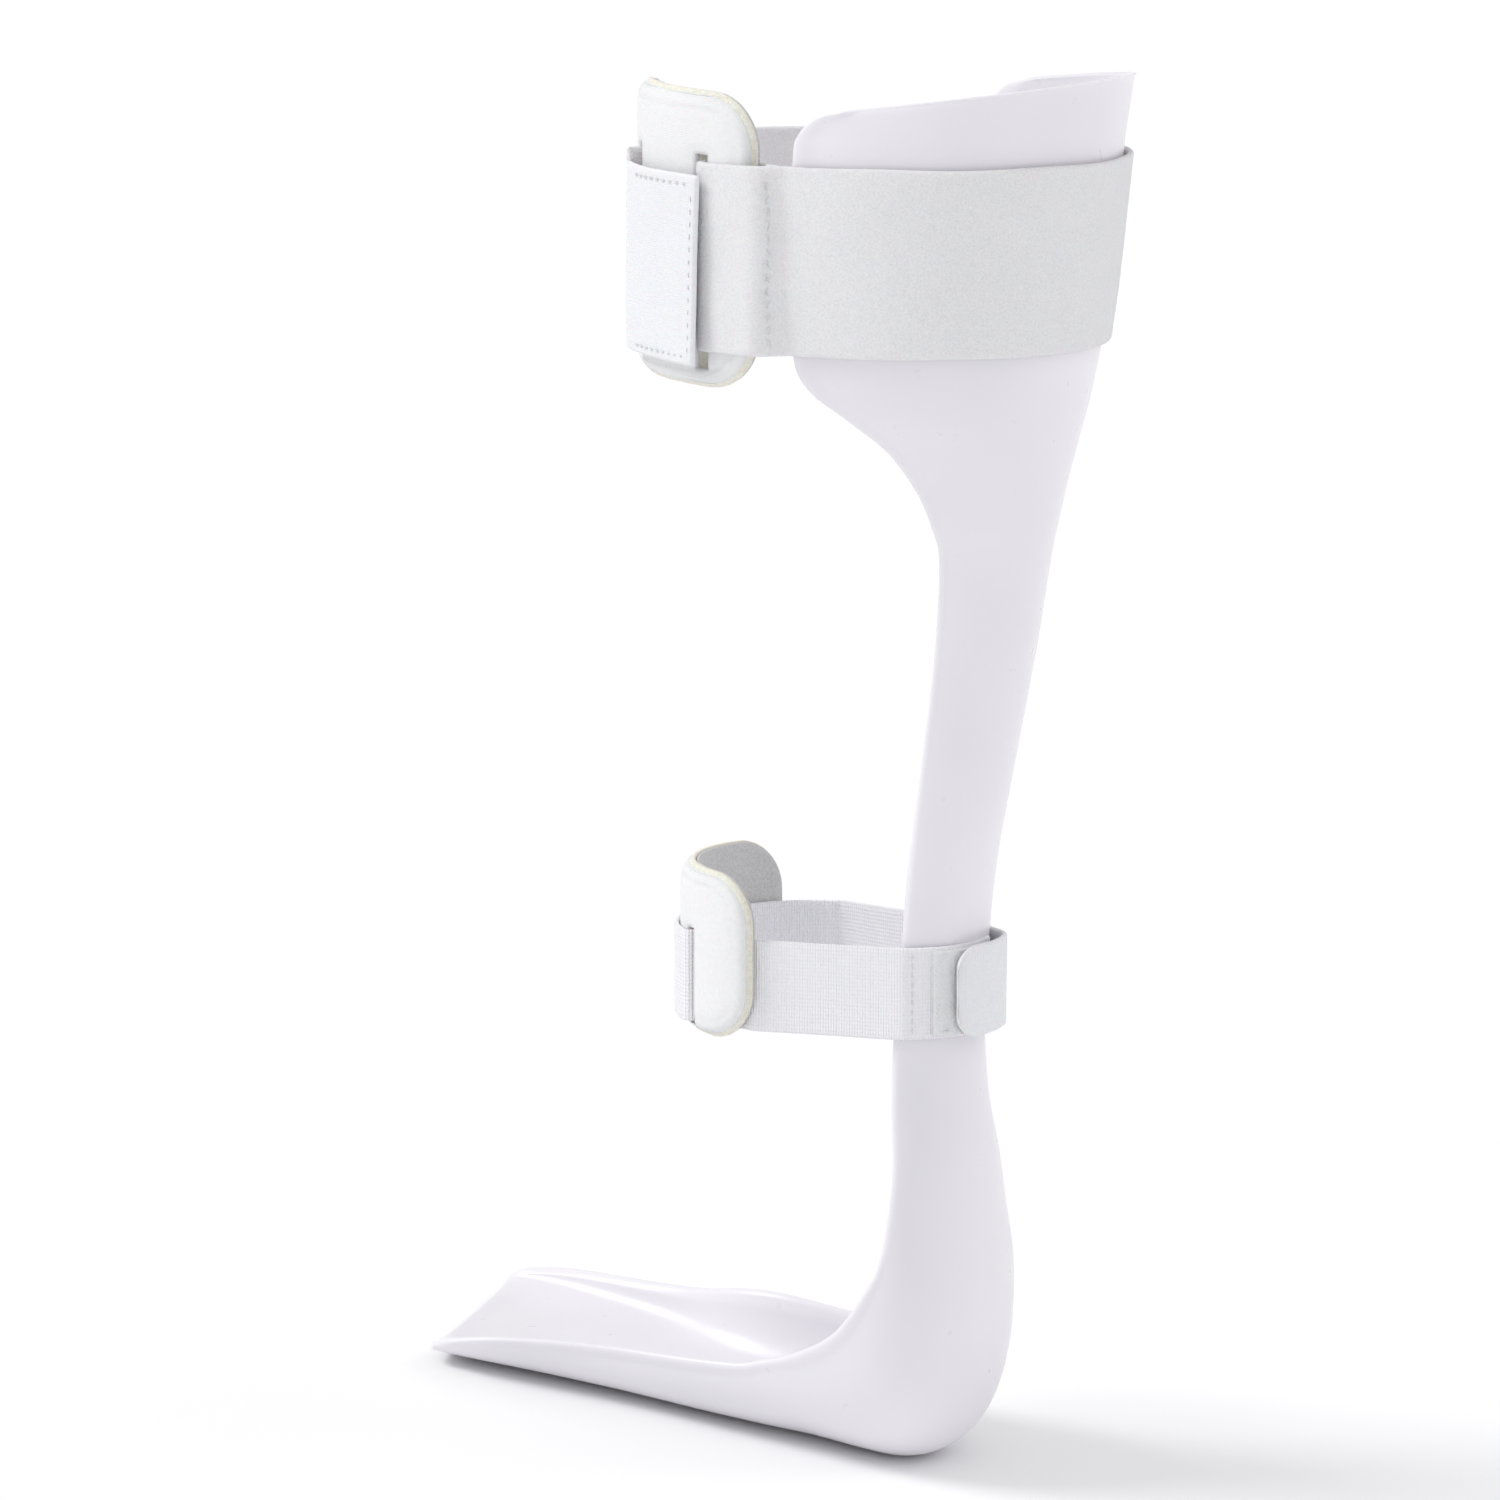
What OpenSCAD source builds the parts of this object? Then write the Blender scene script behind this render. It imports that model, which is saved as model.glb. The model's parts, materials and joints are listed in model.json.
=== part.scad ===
// Posterior leaf-spring ankle foot orthosis for a left leg: moulded shell, calf strap and ankle strap.
// +Z is up, the toes point along -X and the lateral side faces -Y. The sole lies on z = 0.
// The straps, the pads and the cuff are laid out in a leg frame, which leans forward about the origin.

/* [Shell] */
// Height of the cuff's rear rim, measured along the leg
cuff_top = 375; // [310:5:460]
// Outer width of the calf cuff at its ears
cuff_w = 107; // [88:1:130]
// Outer depth of the cuff, from its rear to the front edge of the ears
cuff_d = 63.5; // [52:0.5:78]
// Outer width of the leaf-spring strut
strut_w = 40; // [32:1:50]
// Outer width of the heel cup
heel_w = 66; // [54:1:80]
// Length of the footplate ahead of the leg axis
foot_l = 131; // [105:1:160]
// Outer width of the footplate at its tip
tip_w = 76; // [62:1:92]
// Thickness of the moulded wall
wall = 3.2; // [2.6:0.1:4]
// Forward lean of the leg over the flat footplate, in degrees
shank_lean = 7; // [4:0.5:9]

/* [Calf strap] */
// Width of the calf strap
calf_strap_w = 50; // [40:1:60]
// Thickness of the calf strap
calf_strap_t = 1.8; // [1.4:0.1:2.4]
// Depth of the calf ahead of the ears
calf_d = 61.5; // [50:0.5:76]
// Height of the calf pad
calf_pad_h = 78; // [70:1:94]

/* [Ankle strap] */
// Width of the ankle strap
ankle_strap_w = 25; // [20:1:30]
// Thickness of the ankle strap
ankle_strap_t = 1.4; // [1:0.1:1.8]
// Height of the middle of the ankle strap, measured along the leg
ankle_z = 130.5; // [126:0.5:150]
// Width of the ankle under its strap
ankle_w = 60; // [52:1:72]
// Height of the ankle pad
ankle_pad_h = 45; // [36:1:54]

/* [Pads] */
// Thickness of the foam core
foam_t = 2.8; // [2:0.1:3.4]
// Thickness of the cover and of the lining
cloth_t = 1.1; // [0.8:0.1:1.4]

/* [Hidden] */

$fn = 48;
gap = 0.3;          // clearance between a strap and what it lies on
layer_gap = 0.05;   // clearance between the sewn layers of a pad
hook_t = 0.9;       // thickness of a hook or loop patch
hook_room = gap + hook_t + 0.2;             // space under a strap for the patch on the shell
pad_t = foam_t + 2 * cloth_t + 2 * layer_gap;

function mix(a, b, k) = a + (b - a) * k;
function smooth(k) = let (c = min(1, max(0, k))) c * c * (3 - 2 * c);

// ---- leg frame ----
function leg(x, z) = [x * cos(shank_lean) - z * sin(shank_lean), x * sin(shank_lean) + z * cos(shank_lean)];
module in_leg() { rotate([0, -shank_lean, 0]) children(); }

// ---- cuff, as a cone between the strap's two edges ----
ear_top = cuff_top - 7;             // top of the ears, level with the leg
ear_r = 12;                         // corner radius of the ears
ear_x = -3.5;                       // front edge of the ears at their top corner
ear_low = cuff_top - 70;            // where the ears' front edge starts to sweep back
cuff_z = ear_top - ear_r;
cuff_taper = [0.115, 0.033, 0.058]; // fall of rear x, front x and half width for each mm down
function cuff_back(z) = ear_x + cuff_d - (cuff_z - z) * cuff_taper[0];
function cuff_front(z) = ear_x - (cuff_z - z) * cuff_taper[1];
function cuff_half(z) = cuff_w / 2 - (cuff_z - z) * cuff_taper[2];

// ---- shell stations: [mid-line x, z, trim-line x, z, half width, arc, squareness] ----
function leg_row(back, trim, half, arc) = concat(leg(back[0], back[1]), leg(trim[0], trim[1]), [half, arc, 2]);
function cuff_row(z) = leg_row([cuff_back(z), z], [cuff_front(z), z], cuff_half(z), 90);
function corner_row(a) =            // rounded top corner of the ears, from the rim (90) down (0)
    let (z = cuff_z + ear_r * sin(a), x = ear_x + ear_r * (1 - cos(a)))
    leg_row([cuff_back(cuff_z + (cuff_top - cuff_z) * sin(a)), cuff_z + (cuff_top - cuff_z) * sin(a)],
            [x, z], cuff_w / 2 - 2.5 * (1 - cos(a)), 90 - 14 * (1 - cos(a)));
strut_top = ear_low - 58;
strut_low = 98;
half_strut = strut_w / 2;
function sweep_row(drop, x, back, w, arc) =     // the trim line's S-curve from ear to strut
    let (half = mix(half_strut, cuff_half(ear_low), w))
    leg_row([back, ear_low - drop], [x, ear_low - drop], half, arc);
function strut_row(k, back, x, w) =             // k is 0 at the strut's top and 1 at its foot
    let (z = mix(strut_top, strut_low, k))
    leg_row([back, z], [x, z], half_strut * w, 66);
half_heel = heel_w / 2;
function heel_row(back, trim, w, arc) = concat(back, trim, [half_heel * w, arc, 2.3]);
half_tip = tip_w / 2;
function sole_row(k, lift, wall_top, w, square) =   // k is the share of the footplate's length
    [-k * foot_l, lift, -k * foot_l - 7 * (1 - k) * (1 - k), wall_top,
     mix(half_heel, half_tip, w), 90, square];
sole_drop = -0.35;                  // the moulded sole is dressed flat by this much

ROWS = [
    corner_row(90), corner_row(60), corner_row(30), cuff_row(cuff_z),
    cuff_row(mix(cuff_z, ear_low, 0.5)), cuff_row(ear_low),
    sweep_row(10, -1.5, 52.2, 0.95, 88), sweep_row(18, 7.5, 50.6, 0.80, 82),
    sweep_row(27, 15.5, 48.8, 0.55, 76), sweep_row(38, 20.3, 46.5, 0.32, 71),
    sweep_row(48, 22.4, 44.6, 0.17, 68), strut_row(0, 42.8, 22.9, 1.09),
    strut_row(0.17, 38.4, 20.8, 1.03), strut_row(0.36, 32.6, 16.8, 1), strut_row(0.57, 26.2, 12.6, 1),
    strut_row(0.76, 22.9, 10.4, 1.03), strut_row(0.88, 22, 9.5, 1.1), strut_row(1, 22.6, 10.2, 1.2),
    leg_row([24, 82], [12.2, 83], half_heel * 0.83, 72), leg_row([25.6, 66], [11.8, 67], half_heel * 0.93, 78),
    heel_row([20.6, 53], [3.2, 58], 0.98, 82), heel_row([22.9, 39], [0.3, 50.5], 1, 86),
    heel_row([23.3, 26], [-3, 44], 1, 89), heel_row([20.8, 13.5], [-6.5, 38.8], 1, 90),
    heel_row([15.5, 5], [-10.8, 34.7], 0.99, 90), heel_row([8, 0.8], [-15.8, 31.2], 0.98, 90),
    heel_row([-2, sole_drop], [-21.5, 27.8], 0.965, 90), heel_row([-18, sole_drop], [-29, 24.6], 0.945, 90),
    sole_row(0.25, sole_drop, 21.8, -0.44, 2.6), sole_row(0.40, sole_drop, 19.2, -0.4, 2.9),
    sole_row(0.56, sole_drop, 17.3, -0.2, 3), sole_row(0.72, sole_drop, 15.2, 0.4, 3),
    sole_row(0.87, sole_drop, 12.2, 0.95, 3), sole_row(0.96, 0.3, 8.8, 1.02, 3), sole_row(1, 1.2, 6, 0.9, 3)];

FLEX_ROW = 17;                      // the station nearest the flexing line

// Catmull-Rom curve through the stations
function spline(p, k) = let (i = min(len(p) - 2, floor(k)), f = k - i,
    a = p[max(0, i - 1)], b = p[i], c = p[i + 1], d = p[min(len(p) - 1, i + 2)])
    0.5 * ((2 * b) + (c - a) * f + (2 * a - 5 * b + 4 * c - d) * f * f + (3 * b - a - 3 * c + d) * f * f * f);
arch_x = -0.43 * foot_l;            // middle of the medial arch
function arch(x, z) = z > 20 ? 0 : exp(-pow((x - arch_x) / 26, 2));
tip_skew = 10;                      // the tip reaches this much further forward on the medial side

// A point of the shell: r is a station, t runs from -1 (lateral trim) to 1 (medial trim), o is inward
function shell_point(r, t, o) =
    let (side = t > 0 ? 1 : 0, rise = 6 * side * arch(r[0], r[1]), tuck = 4 * side * arch(r[0], r[1]),
         dx = r[2] - r[0], dz = r[3] - r[1], d = norm([dx, dz]), u = [dx, dz] / d,
         a = abs(t) * r[5], e = 2 / r[6], n_c = pow(max(0, cos(a)), e), n_s = pow(max(0, sin(a)), e),
         big_w = (r[4] - tuck) / pow(sin(r[5]), e),
         big_d = (d + rise) / (1 - pow(max(0, cos(r[5])), e)),
         y = (big_w - o) * n_s * (t < 0 ? -1 : 1),
         q = o + (big_d - o) * (1 - n_c),
         reach = smooth((-r[0] / foot_l - 0.6) / 0.4) * tip_skew)
    [r[0] + u[0] * q - reach * (y / half_tip + 0.6), y, r[1] + u[1] * q];

ARC_STEPS = 26;
RING_STEPS = 3;                     // rings between two stations
function shell_rings(from, to) = [for (k = [from : 1 / RING_STEPS : to + 0.01]) spline(ROWS, min(k, to))];

// Closed solid between rings of points: each ring is the closed outline of one cross-section
module lofted(rings) {
    n = len(rings[0]);
    m = len(rings);
    points = [for (r = rings) each r];
    sides = [for (j = [0 : m - 2]) for (i = [0 : n - 1]) let (a = j * n + i, b = j * n + (i + 1) % n)
        each [[a, b, a + n], [b, b + n, a + n]]];
    // an outline is a strip with two long sides, so its ends close with quads across the strip
    h = n / 2;
    function cap(base, flip) = [for (i = [0 : h - 2]) let (a = base + i, b = base + i + 1,
        c = base + n - 2 - i, d = base + n - 1 - i)
        each (flip ? [[a, c, b], [a, d, c]] : [[a, b, c], [a, c, d]])];
    polyhedron(points, concat(sides, cap(0, true), cap((m - 1) * n, false)));
}

module shell_sweep(from, to) {
    lofted([for (r = shell_rings(from, to)) concat(
        [for (i = [0 : ARC_STEPS]) shell_point(r, 2 * i / ARC_STEPS - 1, wall)],
        [for (i = [ARC_STEPS : -1 : 0]) shell_point(r, 2 * i / ARC_STEPS - 1, 0)])]);
}
module floor_cut() { translate([-300, -100, -20]) cube([400, 200, 20]); }

// ---- the strut's flexing line: both ends are round about the flex axis ----
flex = leg(16.4, strut_low - 1);
flex_r = 9;
flex_gap = 0.3;
module below_flex(grow) {
    translate([flex[0], 0, flex[1]]) rotate([90, 0, 0]) cylinder(r = flex_r + grow, h = 160, center = true, $fn = 64);
    translate([-300, -100, -30]) cube([400, 200, 30 + flex[1]]);
}

// ---- strap routes, seen from above in the leg frame ----
calf_half = cuff_w / 2 - 3.2;       // half width of the calf under the cuff
calf_lift = calf_strap_t + 2 * gap; // the calf pad stands this far off the leg, over the strap
calf_out = calf_lift + pad_t;
calf_over = calf_out + gap + calf_strap_t / 2;      // middle of a strap that lies on the pad
function calf_point(a, o) = [ear_x - 1 - (calf_d + o) * cos(a), -(calf_half + o) * sin(a)];
// Around the leg: a is 0 in front, 90 at the lateral ear and 180 at the rear
function cuff_point(a, z, o) = [cuff_front(z) - (cuff_back(z) - cuff_front(z) + o) * cos(a),
                                -(cuff_half(z) + o) * sin(a)];
cuff_over = hook_room + calf_strap_t / 2;
function beside(z) = cuff_half(z) + cuff_over - calf_half;  // the strap's offset beside the ears
function calf_mid(a, z) = a > 90 && a < 270 ? cuff_point(a, z, cuff_over) :
    a <= 90 ? calf_point(a, strap_top(a, z)) :
    calf_point(a, mix(beside(z), gap + calf_strap_t / 2, smooth((a - 270) / 25)));
slot_a = [67.5, 34];                // lateral and medial slots of the calf pad
slot_half = 2.2;                    // half width of a slot, in degrees
calf_z = [cuff_top - 46 - calf_strap_w / 2, cuff_top - 46 + calf_strap_w / 2];
seam_a = 86.5;                      // the sewn end of the turned-back strap
in_mid = gap + calf_strap_t / 2;
function calf_strap_route(z) = concat(
    [calf_point(slot_a[0], calf_lift + 0.6), calf_point(slot_a[0], calf_over - 1.7),
     calf_point(slot_a[0] + 0.5, calf_over - 0.5), calf_point(slot_a[0] + 1.6, calf_over)],
    [for (a = [71 : 3 : 80]) calf_mid(a, z)], [for (a = [82 : 1 : 90]) calf_mid(a, z)],
    [for (a = [95 : 5 : 385]) calf_mid(a, z)],
    [calf_point(slot_a[1] - 3, in_mid), calf_point(slot_a[1] - 1.3, in_mid + 0.3),
     calf_point(slot_a[1] - 0.5, in_mid + 1.5), calf_point(slot_a[1] - 0.3, calf_out - 0.5),
     calf_point(slot_a[1], flap_mid - 1.8), calf_point(slot_a[1] + 0.6, flap_mid - 0.4),
     calf_point(slot_a[1] + 1.5, flap_mid)]);
fold_from = 82.7;                   // where the turned-back end leaves the leg, just past the pad
function strap_top(a, z) = mix(beside(z), calf_over, smooth((90 - a) / 7.5));
function steep(a) = let (k = smooth((90 - a) / 7.5)) 1 + 3 * k * (1 - k);   // a slope needs more room
function calf_fold_route(z) = concat(
    [for (a = [slot_a[0] - 0.5 : 2.5 : 80]) calf_point(a, in_mid)],
    [for (a = [81.6 : 0.8 : seam_a + 0.9]) let (k = smooth((a - fold_from) / 3.4))
        calf_point(a, mix(in_mid, strap_top(a, z) - (calf_strap_t + 0.2) * steep(a), k))]);

// ---- closure flap over the calf pad ----
flap_a = [slot_a[1] + 3.6, 73];
flap_inner = calf_out + gap + 2 * hook_t + 0.4;
flap_mid = flap_inner + calf_strap_t / 2;
flap_z = [calf_z[0] - 3.5, calf_z[1] - 3.5];

// ---- ankle ----
ankle_c = -22;                      // middle of the ankle, fore and aft
ankle_d = 34;                       // depth of the ankle ahead of its middle
ankle_half = ankle_w / 2;
function ankle_point(a, o) = [ankle_c - (ankle_d + o) * cos(a), -(ankle_half + o) * sin(a)];
strut_c = 1.2;                      // centre and depth radius of the strut's rear curve
strut_d = 21.4;
strut_h = half_strut * 1.05 / sin(66);
function strut_point(a, o) = [strut_c + (strut_d + o) * cos(a), -(strut_h + o) * sin(a)];
ankle_lift = ankle_strap_t + 2 * gap;
ankle_out = ankle_lift + pad_t;
ankle_over = ankle_out + gap + ankle_strap_t / 2;
strut_over = hook_room + ankle_strap_t / 2;
ankle_in = gap + ankle_strap_t / 2;
aslot_a = [48.5, -8];               // lateral and medial slots of the ankle pad
aslot_half = 3;
tab_start = -46;                    // the closure tab starts here on the strut, medial of its rear
side_steps = 5;
function side_run(a, b) = [for (i = [1 : side_steps - 1]) mix(a, b, i / side_steps)];
lateral_run = [strut_point(64, strut_over), ankle_point(82, ankle_in)];
medial_run = [ankle_point(-70, ankle_in), strut_point(-62, strut_over)];
ankle_route = concat(
    [for (a = [-14 : 6 : 58]) strut_point(a, strut_over)], [lateral_run[0]],
    side_run(lateral_run[0], lateral_run[1]), [lateral_run[1]],
    [for (a = [76 : -6 : 53]) ankle_point(a, ankle_in)],
    [ankle_point(aslot_a[0] + 2, ankle_in), ankle_point(aslot_a[0] + 0.8, ankle_in + 0.5),
     ankle_point(aslot_a[0] + 0.2, ankle_in + 1.6), ankle_point(aslot_a[0] - 0.2, ankle_over - 1.6),
     ankle_point(aslot_a[0] - 0.8, ankle_over - 0.5), ankle_point(aslot_a[0] - 2, ankle_over)],
    [for (a = [42 : -6 : -2]) ankle_point(a, ankle_over)],
    [ankle_point(aslot_a[1] + 2, ankle_over), ankle_point(aslot_a[1] + 0.8, ankle_over - 0.5),
     ankle_point(aslot_a[1] + 0.2, ankle_over - 1.6), ankle_point(aslot_a[1] - 0.2, ankle_in + 1.6),
     ankle_point(aslot_a[1] - 0.8, ankle_in + 0.5), ankle_point(aslot_a[1] - 2, ankle_in)],
    [for (a = [-16 : -8 : -64]) ankle_point(a, ankle_in)], [medial_run[0]],
    side_run(medial_run[0], medial_run[1]), [medial_run[1]],
    [strut_point(-56, strut_over), strut_point(tab_start - 3, strut_over)]);
strap_face = strut_over + ankle_strap_t / 2;
patch_o = [strap_face + 0.1, strap_face + 0.1 + hook_t];
tab_hook_o = [patch_o[1] + 0.15, patch_o[1] + 0.15 + hook_t];
tab_mid = tab_hook_o[1] + 0.1 + ankle_strap_t / 2;
tab_end = 29;
tab_route = concat([for (a = [tab_start + 1 : 5 : -14])
        strut_point(a, mix(strut_over, tab_mid, smooth((a - tab_start) / 26)))],
    [for (a = [-10 : 5 : tab_end - 4]) strut_point(a, tab_mid)], [strut_point(tab_end, tab_mid)]);
ankle_zs = [ankle_z - ankle_strap_w / 2, ankle_z + ankle_strap_w / 2];

// ---- strips: a route with a thickness, between two heights ----
function along(p, i) = let (d = p[min(i + 1, len(p) - 1)] - p[max(i - 1, 0)]) d / norm(d);
function beside_route(p, o) = [for (i = [0 : len(p) - 1]) let (d = along(p, i)) p[i] + o * [d[1], -d[0]]];
function strip_ring(p, z, o1, o2) =
    let (q1 = beside_route(p, o1), q2 = beside_route(p, o2), n = len(p))
    concat([for (i = [0 : n - 1]) [q1[i][0], q1[i][1], z]],
           [for (i = [n - 1 : -1 : 0]) [q2[i][0], q2[i][1], z]]);
module strip(low, high, zs, t) {
    lofted([strip_ring(high, zs[1], -t / 2, t / 2), strip_ring(low, zs[0], -t / 2, t / 2)]);
}
module level_strip(route, zs, t) { strip(route, route, zs, t); }

// A curved panel with rounded corners, between two offsets from the leg.
// where = [kind, first angle, last angle], kind 0 for the calf and 1 for the ankle
function panel_point(kind, a, o) = kind == 0 ? calf_point(a, o) : ankle_point(a, o);
function panel_inset(z, zs, r) = let (d = min(z - zs[0], zs[1] - z)) d >= r ? 0 : r - sqrt(r * r - (r - d) * (r - d));
module panel(kind, as, zs, os, r, radius, steps) {
    levels = concat([for (k = [0, 0.06, 0.2, 0.45, 1]) zs[0] + r * k], [for (k = [1, 0.45, 0.2, 0.06, 0]) zs[1] - r * k]);
    lofted([for (z = [for (i = [len(levels) - 1 : -1 : 0]) levels[i]])
        let (inset = panel_inset(z, zs, r) / radius * 180 / PI, a0 = as[0] + inset, a1 = as[1] - inset)
        concat([for (i = [0 : steps]) let (p = panel_point(kind, mix(a0, a1, i / steps), os[1])) [p[0], p[1], z]],
               [for (i = [steps : -1 : 0]) let (p = panel_point(kind, mix(a0, a1, i / steps), os[0])) [p[0], p[1], z]])]);
}
// Slot through a pad: a block along the pad's own normal
module slot(kind, a, half, zs) {
    p0 = panel_point(kind, a - half, -2);
    p1 = panel_point(kind, a + half, -2);
    p2 = panel_point(kind, a + half, 14);
    p3 = panel_point(kind, a - half, 14);
    translate([0, 0, zs[0]]) linear_extrude(zs[1] - zs[0]) polygon([p0, p1, p2, p3]);
}
calf_pad_a = [15, 82];
calf_pad_z = [calf_z[1] + 18 - calf_pad_h, calf_z[1] + 18];
calf_pad_r = 15;
calf_r = 62;                        // mean radius of the calf, to turn lengths into angles
rim = 0.9;                          // the cover stops this short of the foam's edge
slot_room = 1.5;
module calf_layer(from, to, trim) {
    edge = trim / calf_r * 180 / PI;
    difference() {
        panel(0, [calf_pad_a[0] + edge, calf_pad_a[1] - edge], [calf_pad_z[0] + trim, calf_pad_z[1] - trim],
              [calf_lift + from, calf_lift + to], calf_pad_r - trim, calf_r, 18);
        for (a = slot_a)
            slot(0, a, slot_half, [min(flap_z[0], calf_z[0]) - slot_room, max(flap_z[1], calf_z[1]) + slot_room]);
    }
}
ankle_pad_a = [-42, 82.5];
ankle_pad_z = [ankle_z - 0.34 * ankle_pad_h, ankle_z + 0.66 * ankle_pad_h];
ankle_pad_r = 14;
ankle_r = 38;
module ankle_layer(from, to, trim) {
    edge = trim / ankle_r * 180 / PI;
    difference() {
        panel(1, [ankle_pad_a[0] + edge, ankle_pad_a[1] - edge], [ankle_pad_z[0] + trim, ankle_pad_z[1] - trim],
              [ankle_lift + from, ankle_lift + to], ankle_pad_r - trim, ankle_r, 22);
        for (a = aslot_a)
            slot(1, a, aslot_half, [ankle_zs[0] - slot_room / 2, ankle_zs[1] + slot_room / 2]);
    }
}
foam_from = cloth_t + layer_gap;
foam_to = foam_from + foam_t;

// A stitch: a short thread lying along the line from p to q
stitch_d = 0.6;
module stitch(p, q) {
    d = q - p;
    translate(p) rotate([0, acos(d[2] / norm(d)), atan2(d[1], d[0])])
        cylinder(d = stitch_d, h = norm(d), $fn = 16);
}
stitch_l = 2.6;
stitch_pitch = 4;

// ---- shell ----
module shell_calf() {
    color("whitesmoke") difference() { shell_sweep(0, FLEX_ROW + 1); below_flex(flex_gap); }
}
module shell_foot() {
    color("whitesmoke") difference() {
        intersection() { shell_sweep(FLEX_ROW - 2, len(ROWS) - 1); below_flex(0); }
        floor_cut();
    }
}

// ---- calf strap and its closure ----
hook_in = [152, 208];
module calf_shell_hook() {
    zs = [calf_z[0] + 7, calf_z[1] - 7];
    o = gap / 2 + hook_t / 2;
    color("gainsboro") in_leg() strip([for (a = [hook_in[0] : 4 : hook_in[1]]) cuff_point(a, zs[0], o + 0.1)],
        [for (a = [hook_in[0] : 4 : hook_in[1]]) cuff_point(a, zs[1], o + 0.1)], zs, hook_t);
}
module calf_strap() {
    color("white") in_leg() strip(calf_strap_route(calf_z[0]), calf_strap_route(calf_z[1]), calf_z, calf_strap_t);
}
module calf_strap_fold() {
    color("white") in_leg() strip(calf_fold_route(calf_z[0]), calf_fold_route(calf_z[1]), calf_z, calf_strap_t);
}
module calf_strap_stitches() {
    color("white") in_leg() for (z = [calf_z[0] + 3 : stitch_pitch : calf_z[1] - 5]) {
        lift = (calf_strap_t / 2 + stitch_d / 2 + 0.08) * steep(seam_a);
        p = calf_point(seam_a, strap_top(seam_a, z) + lift);
        q = calf_point(seam_a, strap_top(seam_a, z + stitch_l) + lift);
        stitch([p[0], p[1], z], [q[0], q[1], z + stitch_l]);
    }
}
module calf_flap() {
    route = [for (a = [flap_a[0] + 0.4 : 3 : flap_a[1]]) calf_point(a, flap_mid)];
    color("white") in_leg() level_strip(route, flap_z, calf_strap_t);
}
module calf_flap_hook() {
    route = [for (a = [flap_a[0] + 3 : 3 : slot_a[0] - slot_half]) calf_point(a, flap_inner - 0.15 - hook_t)];
    color("lightgray") in_leg() level_strip(route, [flap_z[0] + 3, flap_z[1] - 3], 2 * hook_t);
}
module calf_flap_stitches() {
    o = flap_mid + calf_strap_t / 2 + stitch_d / 2 + 0.08;
    hem_a = flap_a[1] - 4;
    color("white") in_leg() {
        for (z = [flap_z[0] + 3 : stitch_pitch : flap_z[1] - 5]) {
            p = calf_point(hem_a, o);
            stitch([p[0], p[1], z], [p[0], p[1], z + stitch_l]);
        }
        for (z = [flap_z[0] + 2.5, flap_z[1] - 2.5], a = [flap_a[0] + 3 : 3.6 : hem_a - 3]) {
            p = calf_point(a, o);
            q = calf_point(a + 2.2, o);
            stitch([p[0], p[1], z], [q[0], q[1], z]);
        }
    }
}

// ---- calf pad ----
module calf_pad_lining() { color("silver") in_leg() calf_layer(0, cloth_t, rim / 2); }
module calf_pad_foam() { color("cornsilk") in_leg() calf_layer(foam_from, foam_to, 0); }
module calf_pad_cover() { color("white") in_leg() calf_layer(foam_to + layer_gap, pad_t, rim); }

// ---- ankle strap and its closure ----
module ankle_shell_hook() {
    thin = hook_t - 0.25;
    route = [for (a = [-12 : 3 : 42]) strut_point(a, gap + 0.15 + thin / 2)];
    color("gainsboro") in_leg() level_strip(route, [ankle_zs[0] + 3, ankle_zs[1] - 9], thin);
}
module ankle_strap() { color("white") in_leg() level_strip(ankle_route, ankle_zs, ankle_strap_t); }
module ankle_strap_stitches() {
    p = strut_point(55, strap_face + stitch_d / 2 + 0.12);
    color("white") in_leg() for (z = [ankle_zs[0] + 2 : stitch_pitch * 0.8 : ankle_zs[1] - 4])
        stitch([p[0], p[1], z], [p[0], p[1], z + stitch_l * 0.8]);
}
module ankle_loop_patch() {
    route = [for (a = [0 : 6 : 42]) strut_point(a, (patch_o[0] + patch_o[1]) / 2)];
    color("gainsboro") in_leg() level_strip(route, [ankle_zs[0] + 1, ankle_zs[1] - 1], hook_t);
}
tab_r = 7;                          // corner radius of the tab's free end
module ankle_tab() {
    color("white") in_leg() difference() {
        level_strip(tab_route, ankle_zs, ankle_strap_t);
        for (s = [0, 1]) tab_corner(s);
    }
}
// What is cut away at one corner of the tab's end, seen along the strut's normal there
module tab_corner(upper) {
    p = strut_point(tab_end, tab_mid);
    z = upper ? ankle_zs[1] : ankle_zs[0];
    translate([p[0], p[1], z]) rotate([0, 0, -tab_end]) mirror([0, 0, upper ? 1 : 0]) rotate([0, 90, 0])
        translate([0, 0, -8]) linear_extrude(16) difference() {
            translate([-tab_r, -2]) square([tab_r + 2, tab_r + 2]);
            translate([-tab_r, tab_r]) circle(r = tab_r);
        }
}
module ankle_tab_hook() {
    route = [for (a = [2 : 4 : 22]) strut_point(a, (tab_hook_o[0] + tab_hook_o[1]) / 2)];
    color("lightgray") in_leg() level_strip(route, [ankle_zs[0] + 2, ankle_zs[1] - 2], hook_t);
}

// ---- ankle pad ----
module ankle_pad_lining() { color("silver") in_leg() ankle_layer(0, cloth_t, rim / 2); }
module ankle_pad_foam() { color("cornsilk") in_leg() ankle_layer(foam_from, foam_to, 0); }
module ankle_pad_cover() { color("white") in_leg() ankle_layer(foam_to + layer_gap, pad_t, rim); }

shell_calf();
shell_foot();
calf_shell_hook();
calf_strap();
calf_strap_fold();
calf_strap_stitches();
calf_flap();
calf_flap_hook();
calf_flap_stitches();
calf_pad_cover();
calf_pad_foam();
calf_pad_lining();
ankle_shell_hook();
ankle_strap();
ankle_strap_stitches();
ankle_loop_patch();
ankle_tab();
ankle_tab_hook();
ankle_pad_cover();
ankle_pad_foam();
ankle_pad_lining();
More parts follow.
